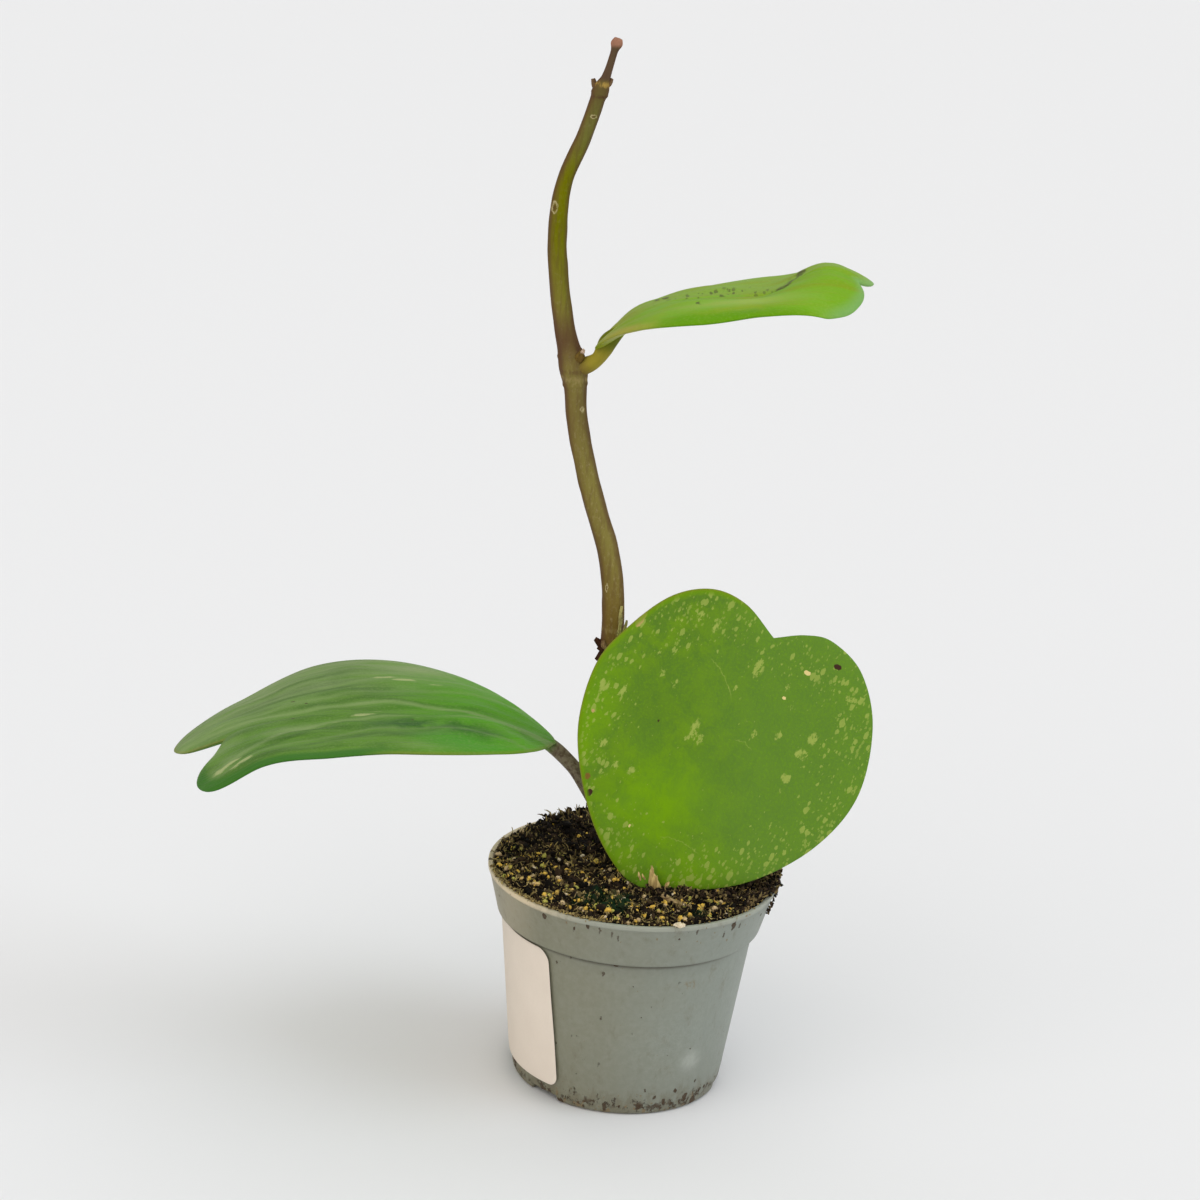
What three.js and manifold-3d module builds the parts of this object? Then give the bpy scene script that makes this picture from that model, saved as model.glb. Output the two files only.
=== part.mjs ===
// Potted hoya: a small nursery pot with soil, one vine stem and three thick heart-shaped leaves.
// Millimetres, +Z up, origin at the centre of the pot's flat underside. The front of the pot faces -Y.

import * as THREE from 'three';
import { mergeVertices } from 'three/addons/utils/BufferGeometryUtils.js';
import Module from 'manifold-3d';

const wasm = await Module();
wasm.setup();

// Driving dimensions of the pot
const POT_HEIGHT = 45.6;
const RIM_RADIUS = 30;
const BAND_HEIGHT = 9.8;
const BAND_FOOT_RADIUS = 27.5;
const BODY_TOP_RADIUS = 26.1;
const FOOT_RADIUS = 21.8;
const WALL = 0.9;
const FLOOR = 2.3;
const POT_SIDES = 72;
const BODY_HEIGHT = POT_HEIGHT - BAND_HEIGHT;

// Drain channels under the floor, one of them showing below the label
const CHANNEL_ANGLES = [228, 348, 108];
const CHANNEL_WIDTH = 7;
const CHANNEL_DEPTH = 1.1;
const CHANNEL_START = 9;
const DRAIN_RADIUS = 2.4;
const DRAIN_PLACE = 15;

// Paper label wrapped round the left of the body
const LABEL_HEIGHT = 31;
const LABEL_FOOT = 3.8;
const LABEL_THICKNESS = 0.4;
const LABEL_CORNER = 2.6;
const LABEL_FRONT_ANGLE = 239;
const LABEL_BACK_ANGLE = 106;
const LABEL_LEAN = 6;

// Soil: level at the rim, heaped in the middle, at the back and where it spills over on the right
const SOIL_LEVEL = POT_HEIGHT - 0.4;
const SOIL_HEAP = 1.5;
const SOIL_BACK_RISE = 1.1;
const SOIL_SPILL_RISE = 1.3;
const SOIL_ROUGHNESS = 0.35;
const CRUMB_COUNT = 70;
const CRUMB_SEED = 7;

// Bank of crumbs over the lip, between two angles, and the trail that hangs from it
const BANK_CRUMBS = 20;
const BANK_START = -36;
const BANK_END = 6;
const BANK_INNER = 27.4;
const BANK_OUTER = 30.4;
const BANK_BED = POT_HEIGHT + 1.65;
const TRAIL = [
  [25.4, -6, 47.6],
  [28.6, -7, 48.0],
  [31.2, -8.2, 47.0],
  [31.2, -9.6, 44.2],
  [30.6, -10.4, 42.0],
];
const TRAIL_CRUMBS = 11;

// Clear gap kept between neighbouring pieces
const GAP = 0.3;

// Main stem: stations of x, y, z and radius from the buried foot to the tip
const STEM = [
  [-1.4, 2.0, 16, 1.9],
  [-2.0, 2.0, 32, 2.2],
  [-2.8, 2.0, 47.3, 2.4],
  [-4.1, 2.0, 59, 2.3],
  [-5.5, 2.0, 70.5, 2.3],
  [-6.8, 2.0, 82, 2.3],
  [-8.0, 2.2, 93, 2.3],
  [-8.8, 2.5, 104, 2.25],
  [-10.6, 2.8, 113, 2.2],
  [-13.8, 3.1, 121.5, 2.15],
  [-16.6, 3.4, 130, 2.1],
  [-18.9, 3.6, 139, 2.15],
  [-20.1, 3.5, 148, 2.2],
  [-22.6, 3.2, 157, 2.05],
  [-24.3, 2.8, 166, 1.95],
  [-25.4, 2.4, 176, 1.85],
  [-24.8, 1.6, 186, 1.6],
  [-21.7, 0.8, 195, 1.5],
  [-19.3, 0.1, 204, 1.35],
  [-18.3, -0.2, 207, 0.85],
  [-17.5, -0.4, 210.5, 0.62],
  [-16.6, -0.7, 214.2, 0.6],
];
// Swellings at the nodes: height, extra radius and half length
const STEM_SWELLINGS = [
  [50, 0.5, 4],
  [92, 0.35, 2.2],
  [149.5, 0.65, 3],
  [204.4, 0.25, 1.2],
  [213.3, 0.5, 0.9],
];
// Short spurs: two halves of a dry stub, the bud in the upper leaf's axil, the two ends of the collar
const STEM_SPURS = [
  [[-8.0, 2.1, 92.2, 1.2], [-9.9, 1.6, 92.9, 1.0], [-11.6, 1.2, 94.4, 0.45]],
  [[-8.6, 1.6, 92.8, 1.0], [-10.2, 0.6, 91.2, 0.8], [-11.2, 0.2, 90.2, 0.4]],
  [[-20.2, 3.0, 150.6, 1.1], [-19.3, 1.4, 152.0, 0.9], [-18.9, 0.9, 153.4, 0.4]],
  [[-19.6, 0.1, 204.4, 0.9], [-20.4, 0.0, 205.0, 0.6], [-20.8, 0.0, 206.3, 0.3]],
  [[-18.8, 0.0, 204.8, 0.7], [-17.7, 0.0, 205.6, 0.45], [-17.2, 0.0, 206.6, 0.3]],
];
const SPUR_SIDES = 7;
const SPUR_STEPS = 4;
const STEM_SIDES = 10;
const STEM_STEPS = 72;


// Each leaf: stations along the midrib give x, y, z, roll, fold (degrees) and curl (1/m);
// the outline gives u along the midrib and v to the side, from the notch round to the notch;
// the stalk gives x, y, z and radius, from inside the blade to the stem.
const FRONT_LEAF = {
  length: 62,
  thickness: 2.2,
  stations: [
    [2.7, -12.1, 47.3, 67, 0, 0],
    [8.6, -9.9, 61.5, 67, 1, 1],
    [14.4, -7.6, 75.7, 67, 1, 1],
    [20.2, -5.3, 89.9, 67, 1, 0],
    [26.0, -3.1, 104.1, 67, 0, -1],
  ],
  outline: [
    [56.7, 0], [60.3, 8], [60, 15.4], [55.1, 22.1], [46, 27], [36.7, 29.6], [25.1, 27.8],
    [15.5, 22.9], [6.4, 15.4], [0.5, 7.3], [-1, 1], [2.3, -7.4], [9.8, -18], [21.9, -26.6],
    [35.4, -29.8], [49.2, -26.2], [58.2, -19.1], [61.3, -11], [60.1, -5.5], [56.7, 0],
  ],
  stalk: [
    [4.6, -11.4, 51.5, 1.0],
    [2.4, -11.8, 47.2, 1.7],
    [1.0, -9.6, 43.4, 1.6],
    [-0.6, -4.6, 41.2, 1.6],
    [-2.4, 1.0, 41.6, 1.6],
  ],
};
const LEFT_LEAF = {
  length: 82,
  thickness: 2.0,
  stations: [
    [-18.1, 2.0, 71.3, -3, 2, -3],
    [-33.6, -1.3, 76.6, 1, 6, -5],
    [-50.5, -3.6, 76.4, 0, 10, -3.5],
    [-65, -6, 75.1, 0, 7, -1.5],
    [-79.5, -9.2, 72.2, 4, 0, 0],
    [-93, -12.9, 66, -1, -2, -3],
  ],
  outline: [
    [71.4, 0], [74.5, 5.5], [78.8, 10], [79.8, 15], [76.5, 20], [67.5, 24], [54, 26.5],
    [38, 27.4], [24.5, 25.6], [14.5, 20.4], [7, 12.3], [1, 3], [0, 0], [1, -4], [5.2, -11.8],
    [11.2, -20.3], [19, -26], [30, -28], [50, -26.4], [67, -21.5], [77.5, -14.5],
    [82.3, -7.5], [81, -3], [76, -1.2], [71.4, 0],
  ],
  stalk: [
    [-23.0, 1.4, 72.3, 0.9],
    [-20.2, 1.9, 71.1, 1.3],
    [-17.8, 1.8, 69.6, 1.45],
    [-15.3, 1.6, 67.5, 1.45],
    [-13.2, 1.5, 65.3, 1.45],
    [-10.4, 1.5, 61.2, 1.5],
    [-7.3, 1.7, 56.7, 1.7],
    [-4.0, 2.0, 52.4, 1.9],
  ],
};
const UPPER_LEAF = {
  length: 62,
  thickness: 2.1,
  stations: [
    [-16.3, -1.1, 154.5, -9, 9, -3.7],
    [-7.7, -0.9, 161.7, -4, 3, -3],
    [3.2, -1.4, 165.3, -4, 11, -9.2],
    [16.2, -1.6, 167, -2, 12.5, -7.2],
    [27, -3.1, 173.3, 3, -3, -7.4],
    [37.5, -3.3, 170.3, 7.5, -3.7, -10],
  ],
  outline: [
    [57, 0], [60, 3.2], [61.2, 7.5], [61.2, 11.3], [58.8, 15.6], [52, 19], [40.8, 21.3],
    [27.3, 22.1], [17.6, 20.6], [10.6, 16.5], [5, 9.9], [1, 3], [0, 0], [1, -3], [5.6, -10.9],
    [11.7, -18.2], [19.5, -22.9], [30.2, -24.5], [41, -23.2], [49.8, -20], [55.6, -15.6],
    [58.1, -9.6], [58.5, -4.4], [57, 0],
  ],
  stalk: [
    [-11.6, -0.9, 158.6, 1.1],
    [-13.7, -0.6, 156.2, 1.7],
    [-14.6, 0.0, 154.2, 1.6],
    [-15.6, 0.9, 152.2, 1.35],
    [-17.2, 2.0, 150.7, 1.6],
    [-19.6, 3.2, 149.4, 1.9],
  ],
};

// Dry scale: a husk at the front leaf's foot, and a dead stalk lying on the soil
const SCALE_FOOT = [4.5, -14.6, 45.4];
const SCALE_WIDTH = 3;
const SCALE_HEIGHT = 6.8;
const SCALE_THICKNESS = 0.7;
const DEAD_STALK_PLACES = [[6, -16.9], [8, -17.8], [10, -18.7], [12, -19.4]];
const DEAD_STALK_RADIUS = 0.7;
const DEAD_STALK_TAPER = 0.06;
const DEAD_STALK_SINK = 0.1;

// Fineness of the blades and stalks
const BLADE_SIDES = 60;
const BLADE_RINGS = 5;
const EDGE_ROUNDNESS = 8;
const FOLD_SOFTNESS = 3;
const STALK_SIDES = 10;
const DEAD_STALK_SIDES = 8;
const DEAD_STALK_STEPS = 9;

const vector = (x, y, z) => new THREE.Vector3(x, y, z);
const UP = vector(0, 0, 1);

// Smooth curve through points that may carry more than three values, read three at a time
function splineThrough(rows, first = 0) {
  const points = rows.map((row) => vector(row[first] ?? 0, row[first + 1] ?? 0, row[first + 2] ?? 0));
  return new THREE.CatmullRomCurve3(points, false, 'catmullrom', 0.5);
}

// Closed triangle mesh as a solid, with coinciding vertices joined
function solidFrom(geometry) {
  const bare = geometry.clone();
  bare.deleteAttribute('normal');
  bare.deleteAttribute('uv');
  const merged = mergeVertices(bare, 1e-4);
  const mesh = new wasm.Mesh({
    numProp: 3,
    vertProperties: new Float32Array(merged.attributes.position.array),
    triVerts: new Uint32Array(merged.index.array),
  });
  return new wasm.Manifold(mesh);
}

// Solid back to a geometry
function geometryFrom(solid) {
  const mesh = solid.getMesh();
  const geometry = new THREE.BufferGeometry();
  geometry.setAttribute('position', new THREE.BufferAttribute(mesh.vertProperties, 3));
  geometry.setIndex(new THREE.BufferAttribute(mesh.triVerts, 1));
  geometry.computeVertexNormals();
  return geometry;
}

// Moves every vertex of a geometry to the place that a rule gives for it
function reshape(geometry, rule) {
  const position = geometry.attributes.position;
  const point = vector(0, 0, 0);
  for (let i = 0; i < position.count; i += 1) {
    point.fromBufferAttribute(position, i);
    const place = rule(point, i);
    position.setXYZ(i, place.x, place.y, place.z);
  }
  return geometry;
}

// Repeatable random numbers from 0 to 1
function randomFrom(seed) {
  let state = seed;
  return () => {
    state = (state * 1664525 + 1013904223) % 4294967296;
    return state / 4294967296;
  };
}

// Solid of revolution about Z from rows of radius and height, listed from the axis round to the axis
function revolved(profile, sides) {
  const points = profile.map(([radius, height]) => new THREE.Vector2(radius, height));
  const lathe = new THREE.LatheGeometry(points, sides);
  return reshape(lathe, (p) => vector(p.x, -p.z, p.y));
}

// Round bar of varying radius: a cylinder bent along the spline of its stations
function bentBar(stations, sides, steps, swell = () => 0, grow = 0) {
  const path = splineThrough(stations);
  const radii = splineThrough(stations, 3);
  const frames = path.computeFrenetFrames(steps, false);
  const bar = new THREE.CylinderGeometry(1, 1, 1, sides, steps);
  return reshape(bar, (p) => {
    const along = THREE.MathUtils.clamp(p.y + 0.5, 0, 1);
    const step = Math.round(along * steps);
    const centre = path.getPointAt(along);
    const radius = radii.getPoint(path.getUtoTmapping(along)).x + swell(centre.z) + grow;
    const end = (step === 0 ? -1 : 0) + (step === steps ? 1 : 0);
    return centre
      .addScaledVector(frames.binormals[step], p.x * radius)
      .addScaledVector(frames.normals[step], p.z * radius)
      .addScaledVector(frames.tangents[step], end * grow);
  });
}

// Extra radius of the stem at a height: one bell curve for each swollen node
function stemSwelling(height) {
  let extra = 0;
  for (const [centre, rise, reach] of STEM_SWELLINGS) {
    extra += rise * Math.exp(-(((height - centre) / reach) ** 2));
  }
  return extra;
}

// Pot: thin wall with a stepped band, a rounded foot and a floor with drain channels
function makePot() {
  const shell = solidFrom(revolved([
    [0, 0],
    [FOOT_RADIUS - 0.9, 0],
    [FOOT_RADIUS - 0.2, 0.3],
    [FOOT_RADIUS + 0.1, 1],
    [BODY_TOP_RADIUS, BODY_HEIGHT - 0.5],
    [BODY_TOP_RADIUS + 0.3, BODY_HEIGHT - 0.1],
    [BAND_FOOT_RADIUS - 0.3, BODY_HEIGHT],
    [BAND_FOOT_RADIUS, BODY_HEIGHT + 0.4],
    [RIM_RADIUS - 0.25, POT_HEIGHT - 1.2],
    [RIM_RADIUS, POT_HEIGHT - 0.9],
    [RIM_RADIUS, POT_HEIGHT - 0.15],
    [RIM_RADIUS - 0.15, POT_HEIGHT],
    [RIM_RADIUS - WALL, POT_HEIGHT],
    [BAND_FOOT_RADIUS - WALL, BODY_HEIGHT + 1.2],
    [BODY_TOP_RADIUS - WALL, BODY_HEIGHT - 0.6],
    [FOOT_RADIUS - WALL, FLOOR + 1.2],
    [FOOT_RADIUS - WALL - 1, FLOOR],
    [0, FLOOR],
  ], POT_SIDES));
  let pot = shell;
  for (const degrees of CHANNEL_ANGLES) {
    const angle = THREE.MathUtils.degToRad(degrees);
    const length = FOOT_RADIUS + 2 - CHANNEL_START;
    const channel = new THREE.BoxGeometry(length, CHANNEL_WIDTH, 2 * CHANNEL_DEPTH);
    channel.translate(CHANNEL_START + length / 2, 0, 0);
    const drain = new THREE.CylinderGeometry(DRAIN_RADIUS, DRAIN_RADIUS, 3 * FLOOR, 20);
    drain.rotateX(Math.PI / 2);
    drain.translate(DRAIN_PLACE, 0, 0);
    pot = pot.subtract(solidFrom(channel.rotateZ(angle)));
    pot = pot.subtract(solidFrom(drain.rotateZ(angle)));
  }
  return geometryFrom(pot);
}

// Outer radius of the pot's body at a height
function bodyRadius(height) {
  return FOOT_RADIUS + 0.1 + (BODY_TOP_RADIUS - FOOT_RADIUS - 0.1) * (height / BODY_HEIGHT);
}

// Label: a thin sheet with rounded corners, wrapped on the cone of the body
function makeLabel() {
  const cornerSteps = [0, 0.12, 0.38, 0.7, 1];
  const width = THREE.MathUtils.degToRad(LABEL_FRONT_ANGLE - LABEL_BACK_ANGLE) * bodyRadius(BODY_HEIGHT / 2);
  const corner = LABEL_CORNER / width;
  const columns = cornerSteps.map((share) => share * corner);
  const plainColumns = 26;
  for (let i = 1; i < plainColumns; i += 1) {
    columns.push(corner + ((1 - 2 * corner) * i) / plainColumns);
  }
  cornerSteps.slice().reverse().forEach((share) => columns.push(1 - share * corner));
  const sheet = new THREE.BoxGeometry(1, 1, 1, columns.length - 1, 4, 1);
  return geometryFrom(solidFrom(reshape(sheet, (p) => {
    const share = columns[Math.round((p.x + 0.5) * (columns.length - 1))];
    const inset = Math.max(0, corner - Math.min(share, 1 - share)) / corner;
    const cut = LABEL_CORNER * (1 - Math.sqrt(1 - 0.98 * inset * inset));
    const height = LABEL_FOOT + LABEL_HEIGHT / 2 + p.y * (LABEL_HEIGHT - 2 * cut);
    const lean = (LABEL_LEAN * (height - LABEL_FOOT)) / LABEL_HEIGHT;
    const degrees = THREE.MathUtils.lerp(LABEL_BACK_ANGLE, LABEL_FRONT_ANGLE, share) - lean;
    const radius = bodyRadius(height) + GAP + LABEL_THICKNESS * (p.z + 0.5);
    const angle = THREE.MathUtils.degToRad(degrees);
    return vector(radius * Math.cos(angle), radius * Math.sin(angle), height);
  })));
}

// Height of the soil's surface: heap in the middle, rise at the back, spill at the right, fine waves
function soilHeight(x, y) {
  const radius = Math.hypot(x, y);
  const heap = SOIL_HEAP * (1 - (radius / RIM_RADIUS) ** 2);
  const back = SOIL_BACK_RISE * THREE.MathUtils.smoothstep(y, 4, 26);
  const spill = SOIL_SPILL_RISE * Math.exp(-(((x - 25) / 9) ** 2) - ((y + 5) / 11) ** 2);
  const waves = SOIL_ROUGHNESS * (Math.sin(0.9 * x + 1.3) * Math.cos(0.8 * y) + Math.sin(0.53 * y - 0.4 * x));
  return SOIL_LEVEL + heap + back + spill + waves;
}

// One crumb of soil: a small rough lump
function makeCrumb(random, size, place) {
  const lump = new THREE.IcosahedronGeometry(size, 0);
  lump.scale(0.75 + 0.6 * random(), 0.75 + 0.5 * random(), 0.65 + 0.4 * random());
  lump.rotateX(Math.PI * random());
  lump.rotateZ(Math.PI * random());
  lump.translate(place.x, place.y, place.z);
  return solidFrom(lump);
}

// Soil: the plug inside the pot, with crumbs sunk in its surface and a trail of them over the rim
function makeSoil(cutters) {
  const inner = WALL + GAP;
  const top = RIM_RADIUS - inner - 0.1;
  const profile = [
    [0, FLOOR + GAP],
    [FOOT_RADIUS - inner - 1.1, FLOOR + GAP],
    [FOOT_RADIUS - inner, FLOOR + 1.6],
    [BODY_TOP_RADIUS - inner, BODY_HEIGHT - 0.4],
    [BAND_FOOT_RADIUS - inner, BODY_HEIGHT + 1.7],
    [top, SOIL_LEVEL],
  ];
  const rings = 9;
  for (let ring = rings - 1; ring >= 0; ring -= 1) {
    profile.push([(top * ring) / rings, SOIL_LEVEL]);
  }
  const plug = reshape(revolved(profile, 36), (p) => {
    const surface = p.z > SOIL_LEVEL - 0.01;
    return vector(p.x, p.y, surface ? soilHeight(p.x, p.y) : p.z);
  });
  let soil = solidFrom(plug);
  const random = randomFrom(CRUMB_SEED);
  for (let i = 0; i < CRUMB_COUNT; i += 1) {
    const size = 0.8 + 1.1 * random() ** 2;
    const radius = (top - 1.45 * size - 0.3) * Math.sqrt(random());
    const angle = 2 * Math.PI * random();
    const x = radius * Math.cos(angle);
    const y = radius * Math.sin(angle);
    soil = soil.add(makeCrumb(random, size, vector(x, y, soilHeight(x, y) + 0.2 * size)));
  }
  // a bank of crumbs lies over the lip at the right, and a short trail hangs down outside it
  for (let i = 0; i < BANK_CRUMBS; i += 1) {
    const angle = THREE.MathUtils.degToRad(BANK_START + (BANK_END - BANK_START) * random());
    const radius = BANK_INNER + (BANK_OUTER - BANK_INNER) * random();
    const place = vector(radius * Math.cos(angle), radius * Math.sin(angle), BANK_BED + 0.5 * random());
    soil = soil.add(makeCrumb(random, 0.8 + 0.3 * random(), place));
  }
  const trail = splineThrough(TRAIL);
  for (let i = 0; i <= TRAIL_CRUMBS; i += 1) {
    const share = i / TRAIL_CRUMBS;
    soil = soil.add(makeCrumb(random, 1.15 - 0.5 * share, trail.getPointAt(share)));
  }
  for (const cutter of cutters) {
    soil = soil.subtract(cutter);
  }
  // crumbs that touch nothing are left out
  const [plugWithCrumbs] = soil.decompose().sort((a, b) => b.volume() - a.volume());
  return geometryFrom(plugWithCrumbs);
}

// Main stem with its swollen nodes, dry stub, bud, collar and end knob, grown by a clear gap on request
function stemSolid(grow = 0) {
  let stem = solidFrom(bentBar(STEM, STEM_SIDES, STEM_STEPS, stemSwelling, grow));
  for (const spur of STEM_SPURS) {
    stem = stem.add(solidFrom(bentBar(spur, SPUR_SIDES, SPUR_STEPS, () => 0, grow)));
  }
  return stem;
}

// Frame of the blade at a place along its midrib
function bladeFrame(leaf, path, section, u) {
  const share = THREE.MathUtils.clamp(u / leaf.length, 0, 1);
  const along = path.getTangent(share);
  const level = UP.clone().cross(along).normalize();
  const above = along.clone().cross(level);
  const values = section.getPoint(share);
  const roll = THREE.MathUtils.degToRad(values.x);
  const origin = path.getPoint(share).addScaledVector(along, u - share * leaf.length);
  return {
    origin,
    side: level.clone().multiplyScalar(Math.cos(roll)).addScaledVector(above, Math.sin(roll)),
    face: above.clone().multiplyScalar(Math.cos(roll)).addScaledVector(level, -Math.sin(roll)),
    slope: Math.tan(THREE.MathUtils.degToRad(values.y)),
    curl: values.z / 1000,
  };
}

// Blade: a sphere pressed to the leaf's outline and laid on its folded, curled surface.
// The sphere's poles are the middles of the two faces and its equator is the rounded edge.
function makeBlade(leaf, grow = 0) {
  const path = splineThrough(leaf.stations);
  const section = splineThrough(leaf.stations, 3);
  const outline = splineThrough(leaf.outline.map(([u, v]) => [u, v, 0]));
  const middle = leaf.length / 2;
  const spread = 1 + grow / (leaf.length / 3);
  const edge = [];
  for (let i = 0; i <= BLADE_SIDES; i += 1) {
    edge.push(outline.getPointAt((i % BLADE_SIDES) / BLADE_SIDES));
  }
  const ball = new THREE.SphereGeometry(1, BLADE_SIDES, 2 * BLADE_RINGS);
  return reshape(ball, (p, index) => {
    const column = index % (BLADE_SIDES + 1);
    const reach = Math.min(1, Math.hypot(p.x, p.z));
    const u = middle + (edge[column].x - middle) * reach * spread;
    const v = edge[column].y * reach * spread;
    const frame = bladeFrame(leaf, path, section, u);
    const crease = Math.sqrt(v * v + FOLD_SOFTNESS ** 2) - FOLD_SOFTNESS;
    const half = (leaf.thickness / 2 + grow) * Math.sqrt(1 - reach ** EDGE_ROUNDNESS);
    const rise = frame.slope * crease + frame.curl * v * v + Math.sign(p.y) * half;
    return frame.origin.addScaledVector(frame.side, v).addScaledVector(frame.face, rise);
  });
}

// Leaf: blade and stalk in one, cut clear of the stem where the stalk meets it
function makeLeaf(leaf, stemRoom) {
  const blade = solidFrom(makeBlade(leaf));
  const stalk = solidFrom(bentBar(leaf.stalk, STALK_SIDES, 4 * (leaf.stalk.length - 1)));
  return geometryFrom(blade.add(stalk).subtract(stemRoom));
}

// Room that the front leaf's foot and stalk need in the soil
function frontLeafRoom() {
  const steps = 4 * (FRONT_LEAF.stalk.length - 1);
  const blade = solidFrom(makeBlade(FRONT_LEAF, GAP));
  return blade.add(solidFrom(bentBar(FRONT_LEAF.stalk, STALK_SIDES, steps, () => 0, GAP)));
}

// Dry scale: a small three-cornered husk standing in the soil before the leaf's foot
function makeDryScale(grow = 0) {
  const half = SCALE_WIDTH / 2 + grow;
  const tall = SCALE_HEIGHT + grow;
  const thick = SCALE_THICKNESS + 2 * grow;
  const shape = new THREE.Shape();
  shape.moveTo(-half, -grow);
  shape.lineTo(half, -grow);
  shape.quadraticCurveTo(0.6 * half, 0.7 * tall, 0.2, tall);
  shape.quadraticCurveTo(-0.9 * half, 0.6 * tall, -half, -grow);
  const husk = new THREE.ExtrudeGeometry(shape, { depth: thick, bevelEnabled: false, curveSegments: 5 });
  husk.translate(0, 0, -thick / 2);
  husk.rotateX(Math.PI / 2);
  return husk.translate(...SCALE_FOOT);
}

// Dead stalk: a short brown rod lying on the soil in front of the leaf, grown by a clear gap on request
function makeDeadStalk(grow = 0) {
  const stations = DEAD_STALK_PLACES.map(([x, y], i) => {
    const radius = DEAD_STALK_RADIUS - DEAD_STALK_TAPER * i;
    return [x, y, soilHeight(x, y) + DEAD_STALK_RADIUS - DEAD_STALK_SINK * i, radius];
  });
  return bentBar(stations, DEAD_STALK_SIDES, DEAD_STALK_STEPS, () => 0, grow);
}

function named(name, geometry, color, roughness) {
  const material = new THREE.MeshStandardMaterial({ color, roughness, metalness: 0 });
  const mesh = new THREE.Mesh(geometry, material);
  mesh.name = name;
  return mesh;
}

const stemRoom = stemSolid(GAP);
const soilCutters = [
  stemRoom,
  frontLeafRoom(),
  solidFrom(makeDryScale(GAP)),
  solidFrom(makeDeadStalk(GAP)),
];

const plant = new THREE.Group();
plant.name = 'potted_hoya';
plant.add(
  named('pot', makePot(), 0x848980, 0.55),
  named('label', makeLabel(), 0xdcd0c8, 0.7),
  named('soil', makeSoil(soilCutters), 0x2a1d15, 0.95),
  named('stem', geometryFrom(stemSolid()), 0x6c5f35, 0.6),
  named('leaf_front', makeLeaf(FRONT_LEAF, stemRoom), 0x528a24, 0.45),
  named('leaf_left', makeLeaf(LEFT_LEAF, stemRoom), 0x467f3a, 0.45),
  named('leaf_upper', makeLeaf(UPPER_LEAF, stemRoom), 0x6ea02c, 0.45),
  named('dry_scale', geometryFrom(solidFrom(makeDryScale())), 0xb99a6a, 0.8),
  named('dead_stalk', geometryFrom(solidFrom(makeDeadStalk())), 0x6b4a30, 0.85),
);

export default plant;
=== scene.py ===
# A young hoya in a small nursery pot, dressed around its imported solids. Sizes are in millimetres
# until make_piece turns them into metres; +Z is up and the front of the pot faces -Y.
import math

import bpy
import numpy as np
from mathutils import Matrix


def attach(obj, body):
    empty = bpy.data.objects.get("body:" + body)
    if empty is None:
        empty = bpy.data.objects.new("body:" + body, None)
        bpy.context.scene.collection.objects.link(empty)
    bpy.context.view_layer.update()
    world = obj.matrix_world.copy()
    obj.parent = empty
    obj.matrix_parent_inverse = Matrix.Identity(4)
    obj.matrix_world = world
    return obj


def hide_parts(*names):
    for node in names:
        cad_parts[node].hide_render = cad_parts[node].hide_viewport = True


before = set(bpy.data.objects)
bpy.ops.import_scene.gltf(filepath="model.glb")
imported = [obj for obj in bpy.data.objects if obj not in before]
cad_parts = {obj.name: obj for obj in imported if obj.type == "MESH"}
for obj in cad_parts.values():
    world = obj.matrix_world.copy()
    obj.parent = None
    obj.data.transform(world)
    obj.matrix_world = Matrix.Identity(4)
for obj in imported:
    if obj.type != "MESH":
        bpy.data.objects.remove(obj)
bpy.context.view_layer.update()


# The pot
# One thin injection-moulded wall with a stepped band and a small lip at the top, a rounded foot,
# three shallow drain channels under the floor and a round drain hole in each of them.
POT_HEIGHT = 45.6
POT_SIDES = 300
POT_CORNERS = [
    (0, 0, 0), (21.85, 0, 1.1), (26.15, 35.75, 0.45), (27.45, 35.75, 0.4), (29.72, 44.45, 0.2),
    (30, 44.65, 0.2), (30, 45.6, 0.3), (29.1, 45.6, 0.3), (26.6, 36.9, 1), (25.2, 35.2, 1),
    (20.9, 2.3, 1.4), (0, 2.3, 0),
]
CHANNEL_ANGLES = (228, 348, 108)
CHANNEL_WIDTH = 7
CHANNEL_DEPTH = 1.1
CHANNEL_START = 9
DRAIN_PLACE = 15
DRAIN_SIDES = 32
# radius and height of the corners of the drill that cuts a drain hole
DRAIN_DRILL = [(0, -2), (2.4, -2), (2.4, 3.5), (0, 3.5)]
POT_WARM = (0.212, 0.208, 0.144, 1)
# painted light on the body: warm on the left and cool on the right
POT_LEFT_WARM_LIGHT = (0.34, 0.30, 0.205, 1)
POT_RIGHT_COOL_LIGHT = (0.236, 0.262, 0.226, 1)
# painted highlight colours for the lip
POT_LIP_HIGHLIGHT = (0.34, 0.355, 0.30, 1)
POT_LIP_WARM_HIGHLIGHT = (0.76, 0.62, 0.42, 1)
POT_SCUFF = (0.46, 0.48, 0.44, 1)
POT_STEP_SHADE = (0.075, 0.070, 0.048, 1)
# where a streak or speck of dirt is, and how far it reaches up and down
POT_STREAKS = [
    ((22.1, -19.4, 43.0), 2.2), ((18.9, -22.1, 42.2), 2.2), ((20.6, -20.8, 44.0), 2.2),
    ((-3.5, -29.2, 43.1), 2.2), ((-6, -29, 43.7), 2.2), ((-2.2, -29.2, 42.2), 2.2),
    ((13.4, -26.6, 43.8), 2.2), ((20.9, -12.0, 15.5), 2.2), ((-4.5, -25.4, 32.8), 1.0),
    ((-14.0, -21.7, 32.8), 0.7),
]
SCUFF_PLACE = (14.8, -17.9, 11.7)
DIRT = (0.060, 0.034, 0.017, 1)
DIRT_TAN = (0.20, 0.135, 0.058, 1)
DIRT_FILM = (0.135, 0.112, 0.062, 1)


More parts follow.
